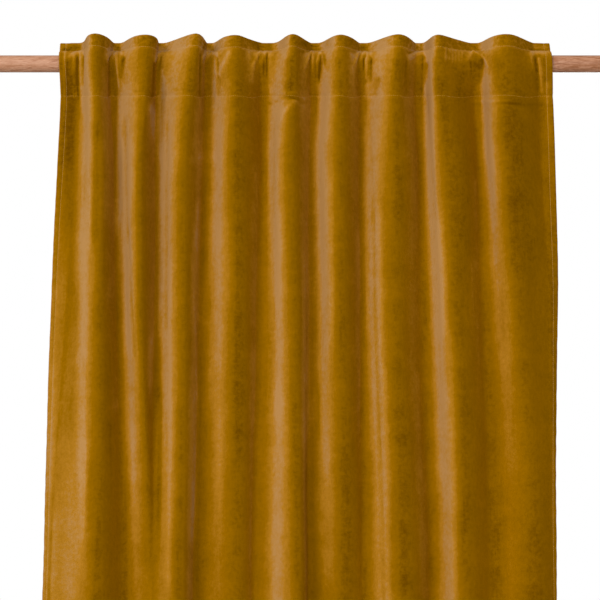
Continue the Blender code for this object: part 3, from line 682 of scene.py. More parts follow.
def grid_normals(grid):
    """Unit normals of a grid of points, toward the face of the cloth."""
    normals = np.cross(np.gradient(grid, axis=0), np.gradient(grid, axis=1))
    return normals / np.maximum(np.linalg.norm(normals, axis=2, keepdims=True), 1e-9)


def all_strokes(creases, marks):
    """Strokes from the rows of a table of creases and a table of upright flat marks."""
    strokes = [Stroke(*row) for row in creases]
    for place, first, last, wide, tone in marks:
        strokes.append(Stroke(place, first, place, last, wide, 0.0, tone))
    return strokes


def stroke_marks(places, drops, strokes, fade, taper):
    """Height and tone of strokes at each place and drop of a grid; the tone is mostly painted light
    and shade.

    They lose the share fade by their ends, and run out beyond them over taper times their width.
    """
    relief, tone = np.zeros_like(places), np.zeros_like(places)
    for stroke in strokes:
        start = np.array([stroke.place0, stroke.drop0])
        run = np.array([stroke.place1, stroke.drop1]) - start
        across, along = places - start[0], drops - start[1]
        length = np.hypot(*run)
        run = run / length
        at = across * run[0] + along * run[1]
        beyond = np.maximum(np.maximum(-at, at - length), 0.0) / taper
        away = np.hypot(across * run[1] - along * run[0], beyond)
        t = np.clip(at / length, 0.0, 1.0)
        share = np.exp(-((away / stroke.wide) ** 2)) * (1.0 - fade * t * t * (3 - 2 * t))
        relief += stroke.high * share
        tone += stroke.tone * share
    return relief, tone


def groove_share(away, wide):
    """Cross-section of the groove along a row of stitches, 1 at its middle."""
    return np.exp(-((away / wide) ** 2))


def seam_relief(edge_runs, drops, lengths, cloth):
    """Grooves along the seams and hems, and the small gathers that the thread pulls in there."""
    groove = cloth.groove_depth / MM
    relief = np.zeros_like(edge_runs)
    gathered = cloth.gather_height / MM
    for seam, pull in SEAM_PULLS:
        away = np.abs(drops - seam)
        relief -= groove * pull * groove_share(away, SEAM_GROOVE_WIDTH)
        gathers = np.sin(lengths * 0.93 + 1.7 * np.sin(lengths * 0.071)) * np.sin(lengths * 0.29)
        relief += gathered * pull * gathers * np.exp(-away / SEAM_GATHER_REACH)
    hem = edge_runs - cloth.side_stitch / MM
    relief -= groove * SIDE_HEM_PULL * groove_share(hem, SEAM_GROOVE_WIDTH)
    gathers = np.sin(drops * 0.23 + 2.1 * np.sin(drops * 0.031))
    relief += gathered * EDGE_GATHERS * gathers * np.exp(-edge_runs / EDGE_GATHER_REACH)
    foot = drops - (DROP - BOTTOM_HEM)
    return relief - groove * BOTTOM_HEM_PULL * groove_share(foot, HEM_GROOVE_WIDTH)


def pile_crush(edge_runs, drops):
    """How roughed up the pile is, from 0 to 1: most in the header, some along seams and edges."""
    parts = [share * np.clip((end - drops) / ease, 0.0, 1.0) for share, end, ease in CRUSHED]
    parts.append(EDGE_CRUSH * np.exp(-edge_runs / EDGE_CRUSH_REACH))
    return np.max(parts, axis=0, initial=LEAST_CRUSH)


def wave_relief(places, drops):
    """Slow uneven swells that keep the long folds from looking drawn with a ruler."""
    grown = np.clip((drops - SEAM_2) / SWELL_ONSET, 0.0, 1.0)
    return grown * sum(
        high * np.sin(places * across + drops * down + start)
        for high, across, down, start in SWELLS
    )


class Cloth:
    """The draped middle surface with its creases, and what is needed to lay pieces on it."""

    def __init__(self, settings):
        inner = inner_columns()
        self.drops = row_drops()
        self.columns = np.array([row_columns(drop, inner) for drop in self.drops])
        self.keep = kept_columns(self.columns, self.drops)
        base = np.array([cloth_row(*row) for row in zip(self.drops, self.columns)])
        normals = grid_normals(base)
        steps = np.linalg.norm(np.diff(base, axis=1), axis=2)
        self.runs = np.pad(np.cumsum(steps, axis=1), ((0, 0), (1, 0)))
        self.edge_runs = np.minimum(self.runs, self.runs[:, -1:] - self.runs)
        drops = np.repeat(self.drops[:, None], base.shape[1], axis=1)
        places = base[:, :, 0]
        heading = all_strokes(HEADING_CREASES, HEADING_MARKS)
        body = all_strokes(BODY_CREASES, BODY_MARKS)
        relief, tone = stroke_marks(places, drops, heading, HEADING_FADE, HEADING_TAPER)
        body_relief, body_tone = stroke_marks(places, drops, body, BODY_FADE, BODY_TAPER)
        relief += body_relief
        self.tone = tone + body_tone
        self.crush = pile_crush(self.edge_runs, drops)
        # Painted highlight just below each seam.
        for seam, lighter in PAINTED_SEAM_SHEEN:
            self.tone += lighter * np.exp(-(((drops - seam - SHEEN_DROP) / SHEEN_WIDTH) ** 2))
        relief += seam_relief(self.edge_runs, drops, self.runs, settings)
        relief += wave_relief(places, drops)
        self.middle = base + normals * relief[:, :, None]
        self.normals = grid_normals(self.middle)

    def row_index(self, drop):
        """The row that lies nearest to a drop."""
        return int(np.abs(self.drops - drop).argmin())


def turned_order(before, last, after):
    """Order of the rows or columns of a sheet that is turned to the back at both of its edges.

    Returns their places on the cloth, how far each lies in the layer behind, from 0 to 1, and how
    far it stands out past the edge, from -1 to 1.
    """
    turn = [math.radians(angle) for angle in TURN_ANGLES]
    order = [(index, math.pi, -1) for index in before]
    order += [(0, angle, -1) for angle in reversed(turn)]
    order += [(index, 0.0, 0) for index in range(last + 1)]
    order += [(last, angle, 1) for angle in turn]
    order += [(index, math.pi, 1) for index in after]
    places, angles, sides = (np.array(values) for values in zip(*order))
    return places, (1 - np.cos(angles)) / 2, sides * np.sin(angles)


def turned_grid(cloth, thickness, gap):
    """The cloth with its side hems, its header and its bottom hem turned to the back.

    Returns the middle surface of the whole sheet, its unit normals, its flat coordinates, its marks
    by name (the tone with its painted light and shade, and the crush of the pile), and the columns
    that go on from the row that is named last.
    """
    layer = thickness + gap
    down, across = np.gradient(cloth.middle, axis=0), np.gradient(cloth.middle, axis=1)
    down /= np.linalg.norm(down, axis=2, keepdims=True)
    across /= np.linalg.norm(across, axis=2, keepdims=True)
    last_row, last_col = cloth.middle.shape[0] - 1, cloth.middle.shape[1] - 1
    left = [EDGE_COLUMNS.index(run) for run in HEM_COLUMNS]
    right = [last_col - index for index in reversed(left)]
    header, foot = (
        [cloth.row_index(drop) for drop in turned] for turned in (HEADER_TURN_ROWS, HEM_TURN_ROWS)
    )
    col_at, under_cols, out_cols = turned_order(left, last_col, right)
    row_at, under_rows, out_rows = turned_order(header, last_row, foot)
    under_rows, out_rows = under_rows[:, None], out_rows[:, None, None]
    out_cols = out_cols[:, None]
    pick = np.ix_(row_at, col_at)
    hem = HEM_COLUMNS[0]
    near_side = np.clip(1 - (cloth.edge_runs[pick] - hem) / CORNER_EASE, 0.0, 1.0)
    main_rows = -layer * under_cols
    turned_rows = -layer * (1 + 2 * near_side) + layer * under_cols
    offset = (1 - under_rows) * main_rows + under_rows * turned_rows
    middle = cloth.middle[pick] + cloth.normals[pick] * offset[:, :, None]
    middle = middle + across[pick] * out_cols * layer / 2 + down[pick] * out_rows * layer / 2
    runs = cloth.runs[pick] + under_cols * np.sign(out_cols[:, 0]) * hem
    flat = np.stack([runs, np.broadcast_to(cloth.drops[row_at][:, None], runs.shape)], axis=2)
    marks = {"tone_and_painted_light": cloth.tone[pick], "pile_crush": cloth.crush[pick]}
    turned = under_cols > 0
    keep = [number for number, col in enumerate(col_at) if turned[number] or col in cloth.keep]
    below = len(HEADER_TURN_ROWS) + len(TURN_ANGLES) + cloth.row_index(SPARSE_DROP)
    return middle, grid_normals(middle), flat, marks, keep, below


def grid_faces(shape, keep, sparse_row):
    """Faces of a grid of points whose rows from sparse_row on have only the kept columns.

    Returns them, the rim of the grid as a loop of points, and which points are used.
    """
    rows, cols = shape
    index = np.arange(rows * cols).reshape(rows, cols)
    faces = []
    for row in range(rows - 1):
        above = np.arange(cols) if row < sparse_row else keep
        below = np.arange(cols) if row + 1 < sparse_row else keep
        if len(above) == len(below):
            upper, lower = index[row, above], index[row + 1, below]
            faces += np.stack([upper[:-1], lower[:-1], lower[1:], upper[1:]], axis=1).tolist()
            continue
        for first, last in zip(below[:-1], below[1:]):
            upper = index[row, first : last + 1][::-1]
            faces.append([*index[row + 1, [first, last]].tolist(), *upper.tolist()])
    bottom = index[-1, keep] if sparse_row < rows else index[-1]
    rim = np.concatenate([index[0], index[1:-1, -1], bottom[::-1], index[-2:0:-1, 0]])
    used = np.ones((rows, cols), bool)
    used[sparse_row:] = False
    used[sparse_row:, keep] = True
    return faces, rim, used.ravel()


def shell_mesh(name, front, back, flat, materials, marks=None, keep=(), sparse_row=None):
    """Closed thin shell between two grids of points in millimetres, with its flat coordinates.

    The front takes the first material, and the back and the rim the last one. Marks are grids of
    values by name that become attributes of its points. From sparse_row on, the shell has only the
    columns in keep.
    """
    rows, cols = front.shape[:2]
    sparse_row = rows if sparse_row is None else sparse_row
    near, rim, used = grid_faces((rows, cols), np.asarray(keep, int), sparse_row)
    number = np.cumsum(used) - 1
    count = int(used.sum())
    points = np.concatenate([front.reshape(-1, 3)[used], back.reshape(-1, 3)[used]]) * MM
    near = [[int(number[corner]) for corner in face] for face in near]
    far = [[corner + count for corner in reversed(face)] for face in near]
    rim = number[rim]
    nxt = np.roll(rim, -1)
    edge = np.stack([rim, nxt, nxt + count, rim + count], axis=1).tolist()
    mesh = bpy.data.meshes.new(name)
    mesh.from_pydata(points.tolist(), [], near + far + edge)
    coords = np.concatenate([flat.reshape(-1, 2)[used]] * 2) * MM
    layer = mesh.uv_layers.new(name="flat_cloth")
    corners = np.zeros(len(mesh.loops), np.int32)
    mesh.loops.foreach_get("vertex_index", corners)
    layer.data.foreach_set("uv", coords[corners].ravel())
    for label, values in (marks or {}).items():
        mark = mesh.attributes.new(label, "FLOAT", "POINT")
        doubled = np.concatenate([values.ravel()[used]] * 2).astype(np.float32)
        mark.data.foreach_set("value", doubled)
    for material in materials:
        mesh.materials.append(material)
    sides = np.zeros(len(mesh.polygons), np.int32)
    sides[len(near) :] = len(materials) - 1
    mesh.polygons.foreach_set("material_index", sides)
    mesh.shade_smooth()
    mesh.update()
    return mesh


def add_piece(name, mesh, slot, *nodes):
    """New piece that rides with the curtain and stands for CAD nodes. Its slot is not used."""
    obj = bpy.data.objects.new(name, mesh)
    bpy.context.scene.collection.objects.link(obj)
    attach(obj, "root")
    if nodes:
        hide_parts(*nodes)
    return obj


def stitch_mesh(name, lines, stitches, material):
    """Rows of stitches as one joined mesh, each row along a line of points with its normals."""
    length, pitch, radius = (
        value / MM for value in (stitches.length, stitches.pitch, stitches.thread / 2)
    )
    sides = 5
    ring_places = np.array([-0.5, -0.3, 0.3, 0.5]) * length
    ring_sizes = np.array([0.3, 1.0, 1.0, 0.3]) * radius
    turns = np.arange(sides) * 2 * math.pi / sides
    places = np.repeat(ring_places, sides)
    lifts = (ring_sizes[:, None] * np.cos(turns)).ravel()
    aside = (ring_sizes[:, None] * np.sin(turns)).ravel()
    ring = np.arange(sides)
    nxt = (ring + 1) % sides
    faces = [
        np.stack([ring, nxt, nxt + sides, ring + sides], axis=1) + k * sides
        for k in range(len(ring_places) - 1)
    ]
    faces = np.concatenate(faces)
    all_points, all_faces, start = [], [], 0
    for points, normals in lines:
        run = lengths_along(points)
        at = np.arange(pitch / 2, run[-1] - pitch / 2, pitch)
        centre, ahead, up = (
            np.stack([np.interp(place, run, source[:, k]) for k in range(3)], axis=1)
            for place, source in ((at, points), (at + pitch / 4, points), (at, normals))
        )
        along = ahead - centre
        along /= np.linalg.norm(along, axis=1, keepdims=True)
        side = np.cross(up, along)
        side /= np.linalg.norm(side, axis=1, keepdims=True)
        made = (
            centre[:, None]
            + along[:, None] * places[None, :, None]
            + up[:, None] * lifts[None, :, None]
            + side[:, None] * aside[None, :, None]
        )
        all_points.append(made.reshape(-1, 3) * MM)
        offsets = start + np.arange(len(at)) * len(places)
        all_faces.append((faces[None] + offsets[:, None, None]).reshape(-1, 4))
        start += made.shape[0] * made.shape[1]
    mesh = bpy.data.meshes.new(name)
    mesh.from_pydata(np.concatenate(all_points).tolist(), [], np.concatenate(all_faces).tolist())
    mesh.materials.append(material)
    mesh.shade_smooth()
    mesh.update()
    return mesh


def new_group(name, inputs, outputs):
    """Shader node group with its sockets, as (tree, group input node, group output node)."""
    tree = bpy.data.node_groups.new(name, "ShaderNodeTree")
    for label, default in inputs:
        socket = tree.interface.new_socket(label, in_out="INPUT", socket_type="NodeSocketFloat")
        socket.default_value = default
    for label in outputs:
        tree.interface.new_socket(label, in_out="OUTPUT", socket_type="NodeSocketFloat")
    return tree, tree.nodes.new("NodeGroupInput"), tree.nodes.new("NodeGroupOutput")


def feed(tree, socket, value):
    """Links a socket to another one, or gives it a plain value."""
    if isinstance(value, bpy.types.NodeSocket):
        tree.links.new(value, socket)
    else:
        socket.default_value = value


def add_node(tree, kind, **inputs):
    """New shader node with its inputs fed. An underscore stands for a space in an input's name."""
    node = tree.nodes.new("ShaderNode" + kind)
    for label, value in inputs.items():
        feed(tree, node.inputs[label.replace("_", " ")], value)
    return node


def math_node(tree, operation, *values, kind="ShaderNodeMath"):
    """Math node fed by sockets or plain numbers, as its output socket."""
    node = tree.nodes.new(kind)
    node.operation = operation
    for socket, value in zip(node.inputs, values):
        feed(tree, socket, value)
    return node.outputs[0]


def sum_node(tree, start, *parts):
    """Start value plus each tone by its share, as an output socket."""
    for tone, share in parts:
        start = math_node(tree, "MULTIPLY_ADD", tone, share, start)
    return start


def rise_node(tree, value, first, last):
    """Smooth rise from 0 to 1 between two values, as an output socket."""
    node = add_node(tree, "MapRange", Value=value, From_Min=first, From_Max=last)
    node.interpolation_type = "SMOOTHSTEP"
    return node.outputs["Result"]


def ramp_node(tree, factor, *stops):
    """Colour ramp through (place, colour) stops, as its output socket."""
    node = add_node(tree, "ValToRGB", Fac=factor)
    elements = node.color_ramp.elements
    while len(elements) > 1:
        elements.remove(elements[-1])
    for number, (place, colour) in enumerate(stops):
        element = elements[0] if number == 0 else elements.new(place)
        element.position = place
        element.color = (*colour, 1.0)
    return node.outputs["Color"]


def bump_node(tree, height, strength, distance):
    """Bump from a height, as its normal socket."""
    node = add_node(tree, "Bump", Strength=strength, Distance=distance, Height=height)
    return node.outputs["Normal"]


def point_value(tree, label):
    """Value that the mesh holds for each of its points, as an output socket."""
    node = tree.nodes.new("ShaderNodeAttribute")
    node.attribute_name = label
    return node.outputs["Fac"]


def mottling_group():
    """Uneven tone over a surface, from 0 to 1, stretched down and across it as asked for."""
    inputs = (("Patches Per Metre", 40.0), ("Stretch Down", 1.0), ("Stretch Across", 1.0))
    tree, given, result = new_group("soft_mottling", inputs, ("Tone",))
    patches, stretch_down, stretch_across = list(given.outputs)[: len(inputs)]
    across = math_node(tree, "DIVIDE", patches, stretch_across)
    down = math_node(tree, "DIVIDE", patches, stretch_down)
    scale = add_node(tree, "CombineXYZ", X=across, Y=patches, Z=down).outputs[0]
    coords = tree.nodes.new("ShaderNodeTexCoord").outputs["Object"]
    place = math_node(tree, "MULTIPLY", coords, scale, kind="ShaderNodeVectorMath")
    noise = add_node(
        tree, "TexNoise", Vector=place, Scale=1.0, Detail=4.0, Roughness=0.6, Distortion=0.4
    )
    tone = rise_node(tree, noise.outputs["Fac"], 0.3, 0.7)
    tree.links.new(tone, result.inputs["Tone"])
    return tree


def weave_group():
    """Plain weave of round threads on the cloth's flat coordinates, as a height from 0 to 1."""
    inputs = (("Threads Per Metre", 900.0), ("Unevenness", 0.3))
    tree, given, result = new_group("plain_weave", inputs, ("Height",))
    coords = tree.nodes.new("ShaderNodeUVMap")
    coords.uv_map = "flat_cloth"
    split = add_node(tree, "SeparateXYZ", Vector=coords.outputs["UV"])
    noise = add_node(tree, "TexNoise", Vector=coords.outputs["UV"], Scale=90.0, Detail=2.0)
    drift = math_node(tree, "MULTIPLY", noise.outputs["Fac"], given.outputs["Unevenness"])
    waves = []
    for axis in ("X", "Y"):
        turns = sum_node(tree, drift, (split.outputs[axis], given.outputs["Threads Per Metre"]))
        waves.append(math_node(tree, "SINE", math_node(tree, "MULTIPLY", turns, math.pi)))
    height = math_node(tree, "MULTIPLY_ADD", math_node(tree, "MULTIPLY", *waves), 0.5, 0.5)
    tree.links.new(height, result.inputs["Height"])
    return tree


def shared_group(name, maker):
    """The node group of that name, made the first time that it is asked for."""
    return bpy.data.node_groups.get(name) or maker()


def mottled(tree, patches, down=1.0, across=1.0):
    """Tone of the shared mottling with so many patches per metre, as an output socket."""
    node = tree.nodes.new("ShaderNodeGroup")
    node.node_tree = shared_group("soft_mottling", mottling_group)
    for socket, value in zip(node.inputs, (patches, down, across)):
        socket.default_value = value
    return node.outputs["Tone"]


def new_material(name, roughness, specular=0.0):
    """New matt material, as (material, its node tree, its shader)."""
    material = bpy.data.materials.new(name)
    material.use_nodes = True
    shader = material.node_tree.nodes["Principled BSDF"]
    shader.inputs["Roughness"].default_value = roughness
    shader.inputs["Specular IOR Level"].default_value = specular
    return material, material.node_tree, shader


def velvet_material(name, look):
    """Short velvet pile that leans to one side, with painted sheen and painted light from the left
    in its colour: dark seen end on, tan seen from its side and on the left sides of the folds.
    """
    material, tree, shader = new_material(name, 1.0)
    normal = tree.nodes.new("ShaderNodeNewGeometry").outputs["Normal"]
    # Painted sheen: the pile is coloured tan where it is seen at a slant and dark where it is seen
    # end on, tilted toward the left sides of the folds by the lean.
    lean = (-look.pile_lean, 0.0, 0.0)
    leaning = math_node(tree, "ADD", normal, lean, kind="ShaderNodeVectorMath")
    leaning = math_node(tree, "NORMALIZE", leaning, kind="ShaderNodeVectorMath")
    facing = add_node(tree, "LayerWeight", Normal=leaning).outputs["Facing"]
    # Painted light from the left: the side of a fold that faces left is lighter, from wherever it
    # is seen.
    across = add_node(tree, "SeparateXYZ", Vector=normal).outputs["X"]
    leftward = math_node(tree, "MAXIMUM", math_node(tree, "MULTIPLY", across, -1.0), 0.0)
    painted_left_light = math_node(tree, "POWER", leftward, 2.0)
    painted_left_light = math_node(tree, "MULTIPLY", painted_left_light, 1.25 * look.left_light_share)
    light = sum_node(tree, painted_left_light, (facing, 2.0 * (1 - look.left_light_share)))
    smudges, patches = mottled(tree, 22.0, across=3.0), mottled(tree, 34.0, down=0.9)
    streaks, fine = mottled(tree, 230.0, down=5.0), mottled(tree, 900.0, down=1.6)
    tones = ((smudges, 0.35), (patches, 0.4), (streaks, 0.3), (fine, 0.3))
    uneven = sum_node(tree, -sum(part[1] for part in tones) / 2, *tones)
    light = sum_node(tree, light, (uneven, look.crush))
    # A mark in a shaded valley never makes the pile as pale as it is on a lit flank.
    palest = math_node(tree, "MULTIPLY_ADD", light, 0.8, 0.56)
    # The strokes on the cloth add their tone, mostly painted light and shade.
    light = math_node(tree, "ADD", light, point_value(tree, "tone_and_painted_light"))
    light = math_node(tree, "MINIMUM", light, palest)
    crumple = math_node(tree, "SUBTRACT", mottled(tree, 150.0, down=0.8), 0.5)
    crumple = math_node(tree, "MULTIPLY", crumple, point_value(tree, "pile_crush"))
    light = sum_node(tree, light, (crumple, look.rough_up))
    # The first stop is left for creases, where the pile lies in its own shade.
    light = math_node(tree, "MULTIPLY_ADD", light, 1 / 1.3, 0.3 / 1.3)
    places = (0.0, 0.231, 0.462, 0.769, 1.0)
    colours = (look.deep, look.dark, look.low, look.middle, look.bright)
    colour = ramp_node(tree, light, *zip(places, colours))
    tree.links.new(colour, shader.inputs["Base Color"])
    height = sum_node(tree, fine, (streaks, 0.5))
    tree.links.new(bump_node(tree, height, 0.35, 0.0004), shader.inputs["Normal"])
    return material


def two_tone(tree, shader, tone, colour, darker, lighter):
    """Colours a shader by a tone, from a darker to a lighter form of one colour."""
    dark, light = ([channel * share for channel in colour] for share in (darker, lighter))
    shade = ramp_node(tree, tone, (0.0, dark), (1.0, light))
    tree.links.new(shade, shader.inputs["Base Color"])


def cotton_material(name, colour, threads):
    """Plain woven cotton in one colour, darker between its threads."""
    material, tree, shader = new_material(name, 0.85, 0.2)
    woven = tree.nodes.new("ShaderNodeGroup")
    woven.node_tree = shared_group("plain_weave", weave_group)
    woven.inputs["Threads Per Metre"].default_value = threads
    woven.inputs["Unevenness"].default_value = 0.6
    height = woven.outputs["Height"]
    tone = sum_node(tree, 0.1, (height, 0.6), (mottled(tree, 60.0), 0.3))
    two_tone(tree, shader, tone, colour, 0.7, 1.3)
    tree.links.new(bump_node(tree, height, 0.5, 0.0003), shader.inputs["Normal"])
    shader.inputs["Sheen Weight"].default_value = 0.05
    return material


def thread_material(name, colour):
    """Sewing thread, with a slight gloss and an uneven tone."""
    material, tree, shader = new_material(name, 0.6, 0.3)
    tone = mottled(tree, 500.0)
    two_tone(tree, shader, tone, colour, 0.8, 1.15)
    tree.links.new(bump_node(tree, tone, 0.3, 0.0001), shader.inputs["Normal"])
    return material


def wood_material(name, look):
    """Oiled oak with long fine grain along the rod, darker pores and a soft gloss."""
    material, tree, shader = new_material(name, 0.5, 0.35)
    grain, pores = mottled(tree, 420.0, across=8.0), mottled(tree, 1000.0, across=8.0)
    bands = mottled(tree, 90.0, across=14.0)
    tone = sum_node(tree, -0.225, (grain, 0.75), (bands, 0.35), (pores, 0.35))
    # The wood is darker and redder toward its right end.
    coords = tree.nodes.new("ShaderNodeTexCoord").outputs["Object"]
    along = add_node(tree, "SeparateXYZ", Vector=coords).outputs["X"]
    tone = sum_node(tree, tone, (rise_node(tree, along, -0.1, 0.35), -0.36))
    stops = ((0.0, look.wood_dark), (0.35, look.wood), (1.0, look.wood_light))
    tree.links.new(ramp_node(tree, tone, *stops), shader.inputs["Base Color"])
    tree.links.new(sum_node(tree, 0.56, (pores, -0.12)), shader.inputs["Roughness"])
    height = sum_node(tree, pores, (grain, 0.5))
    tree.links.new(bump_node(tree, height, 0.25, 0.0002), shader.inputs["Normal"])
    return material


def floor_material(name):
    """Pale matt floor with a barely uneven tone."""
    material, tree, shader = new_material(name, 0.9)
    stops = ((0.0, (0.62, 0.615, 0.60)), (1.0, (0.64, 0.635, 0.62)))
    shade = ramp_node(tree, mottled(tree, 3.0), *stops)
    tree.links.new(shade, shader.inputs["Base Color"])
    return material


def shared_material(name):
    """The material of that name, made the first time that it is asked for."""
    look = bpy.context.scene.curtain.look
    made = bpy.data.materials.get(name)
    if made:
        return made
    if name == "mustard_velvet":
        return velvet_material(name, look)
    if name == "cotton_backing":
        return cotton_material(name, look.backing, 1500.0)
    if name == "cotton_tape":
        return cotton_material(name, look.tape, 1100.0)
    if name == "mustard_thread":
        return thread_material(name, look.thread)
    return wood_material(name, look)


class ClothSettings(PropertyGroup):
    thickness: FloatProperty(
        name="Velvet thickness", description="Pile and backing", default=0.0016, unit="LENGTH"
    )
    hem_gap: FloatProperty(
        name="Hem gap", description="Air between the layers of a hem", default=0.0003, unit="LENGTH"
    )
    side_stitch: FloatProperty(
        name="Side stitch line",
        description="Distance of the hem's stitches from the side edge",
        default=0.0085,
        unit="LENGTH",
    )
    groove_depth: FloatProperty(
        name="Seam groove", description="How far a seam pulls in the pile", default=0.0009
    )
    gather_height: FloatProperty(
        name="Seam gathers", description="Height of the small gathers at a seam", default=0.0005
    )
    tape_thickness: FloatProperty(
        name="Tape thickness", description="Heading tape and tabs", default=0.001, unit="LENGTH"
    )
    tape_gap: FloatProperty(
        name="Tape gap", description="Air between cloth, tape and tab", default=0.0004
    )


class StitchSettings(PropertyGroup):
    length: FloatProperty(
        name="Stitch length", description="Length of the thread that shows", default=0.0026
    )
    pitch: FloatProperty(name="Stitch pitch", description="From stitch to stitch", default=0.0034)
    thread: FloatProperty(name="Thread", description="Thread diameter", default=0.0006)


class LookSettings(PropertyGroup):
    # The velvet's colours at five levels of the painted light worked out in its material: painted
    # shade in creases, then painted sheen from pile seen end on to pile seen from its side.
    deep: FloatVectorProperty(
        name="Velvet in a crease",
        description="Pile shaded by the pile beside it",
        subtype="COLOR",
        default=(0.088, 0.035, 0.0),
    )
    dark: FloatVectorProperty(
        name="Velvet end on",
        description="Pile seen end on",
        subtype="COLOR",
        default=(0.157, 0.0665, 0.0),
    )
    low: FloatVectorProperty(
        name="Velvet turning",
        description="Pile that begins to turn",
        subtype="COLOR",
        default=(0.200, 0.083, 0.0),
    )
    middle: FloatVectorProperty(
        name="Velvet half on",
        description="Pile seen at a slant",
        subtype="COLOR",
        default=(0.29, 0.127, 0.009),
    )
    bright: FloatVectorProperty(
        name="Velvet side on",
        description="Pile seen from its side",
        subtype="COLOR",
        default=(0.323, 0.167, 0.051),
    )
    # The lean tilts the painted sheen toward the left sides of the folds.
    pile_lean: FloatProperty(
        name="Pile lean", description="How far the pile leans to the left", default=0.2
    )
    # Share of the velvet's painted light that comes from the painted light from the left; the rest
    # is painted sheen.
    left_light_share: FloatProperty(
        name="Nap share", description="How much the lean alone lightens the pile", default=0.6
    )
    crush: FloatProperty(
        name="Crushed pile", description="How uneven the pile lies", default=0.25
    )
    rough_up: FloatProperty(
        name="Roughed up pile", description="Mottling where the pile was handled", default=0.5
    )
    backing: FloatVectorProperty(
        name="Backing",
        description="Woven reverse of the velvet",
        subtype="COLOR",
        default=(0.30, 0.15, 0.02),
    )
    tape: FloatVectorProperty(
        name="Tape",
        description="Heading tape and tabs",
        subtype="COLOR",
        default=(0.46, 0.29, 0.09),
    )
    thread: FloatVectorProperty(
        name="Thread",
        description="Sewing thread",
        subtype="COLOR",
        default=(0.40, 0.21, 0.04),
    )
    wood: FloatVectorProperty(
        name="Oak",
        description="Oak between its grain",
        subtype="COLOR",
        default=(0.335, 0.154, 0.079),
    )
    wood_dark: FloatVectorProperty(
        name="Oak grain",
        description="Darkest grain",
        subtype="COLOR",
        default=(0.225, 0.082, 0.028),
    )
    wood_light: FloatVectorProperty(
        name="Pale oak",
        description="Palest grain",
        subtype="COLOR",
        default=(0.42, 0.22, 0.13),
    )


class StageSettings(PropertyGroup):
    camera_place: FloatVectorProperty(
        name="Camera",
        description="Place of the camera",
        subtype="XYZ",
        default=(-0.008, -3.0, -0.87),
    )
    camera_aim: FloatVectorProperty(
        name="Aim",
        description="Point it looks at",
        subtype="XYZ",
        default=(-0.008, 0.0, -0.3945),
    )
    view_angle: FloatProperty(
        name="View angle",
        description="Angle of view across the picture",
        default=math.radians(18.153),
        subtype="ANGLE",
    )
    key_power: FloatProperty(name="Key light", description="Power in watts", default=690.0)
    fill_power: FloatProperty(name="Front light", description="Power in watts", default=110.0)
    back_power: FloatProperty(name="Back light", description="Power in watts", default=120.0)
    room_light: FloatProperty(
        name="Room light", description="White light from above", default=0.62
    )
    low_light: FloatProperty(name="Low light", description="White light from below", default=0.2)
    floor_height: FloatProperty(
        name="Floor", description="Height of the floor", default=-2.4, unit="LENGTH"
    )
    floor_size: IntProperty(name="Floor size", description="Side in metres", default=30)


class CurtainSettings(PropertyGroup):
    cloth: PointerProperty(type=ClothSettings)
    stitches: PointerProperty(type=StitchSettings)
    look: PointerProperty(type=LookSettings)
    stage: PointerProperty(type=StageSettings)


def draped_cloth():
    """The draped surface for the scene's settings."""
    return Cloth(bpy.context.scene.curtain.cloth)


def tape_offset(drops, settings):
    """How far the tape's middle lies behind the cloth's, more over the turned header."""
    velvet, gap = settings.thickness / MM, settings.hem_gap / MM
    near = velvet / 2 + settings.tape_gap / MM + settings.tape_thickness / MM / 2
    over = np.clip((TURNED_END - np.asarray(drops)) / TURNED_EASE, 0.0, 1.0)
    return near + (velvet + gap) * over


class HangPanel(Operator):
    """Hangs the velvet panel in its folds, with its hems and header turned to the back"""

    bl_idname = "curtain.hang_panel"
    bl_label = "Hang Velvet Panel"

    def execute(self, context):
        settings = context.scene.curtain.cloth
        thickness = settings.thickness / MM
        gap = settings.hem_gap / MM
        middle, normals, flat, marks, keep, below = turned_grid(draped_cloth(), thickness, gap)
        front = middle + normals * thickness / 2
        back = middle - normals * thickness / 2
        materials = (shared_material("mustard_velvet"), shared_material("cotton_backing"))
        mesh = shell_mesh("velvet_panel", front, back, flat, materials, marks, keep, below)
        add_piece("velvet_panel", mesh, "velvet", "panel")
        return {"FINISHED"}


class SewTape(Operator):
    """Sews the heading tape to the back of the panel between its two seams"""

    bl_idname = "curtain.sew_tape"
    bl_label = "Sew Heading Tape"

    def execute(self, context):
        settings = context.scene.curtain.cloth
        cloth = draped_cloth()
        first, last = cloth.row_index(HEADER - TAPE_LIP), cloth.row_index(SEAM_2 + TAPE_LIP)
        # The tape runs over the side hems and stops just short of the cloth's side edges.
        inset = EDGE_COLUMNS.index(TAPE_INSET)
        rows = slice(first, last + 1)
        cols = slice(inset, cloth.middle.shape[1] - inset)
        middle, normals = cloth.middle[rows, cols], cloth.normals[rows, cols]
        behind = tape_offset(cloth.drops[rows], settings)[:, None]
        hem = (settings.thickness + settings.hem_gap) / MM
        past_hem = cloth.edge_runs[rows, cols] - HEM_COLUMNS[0]
        behind = behind + hem * np.clip(1 - past_hem / TURNED_EASE, 0.0, 1.0)
        middle = middle - normals * behind[:, :, None]
        half = settings.tape_thickness / MM / 2
        runs = cloth.runs[rows, cols]
        drops = np.broadcast_to(cloth.drops[rows][:, None], runs.shape)
        mesh = shell_mesh(
            "woven_heading_tape",
            middle + normals * half,
            middle - normals * half,
            np.stack([runs, drops], axis=2),
            (shared_material("cotton_tape"),),
        )
        tape = add_piece("woven_heading_tape", mesh, "tape", "heading_tape")
        return {"FINISHED"}


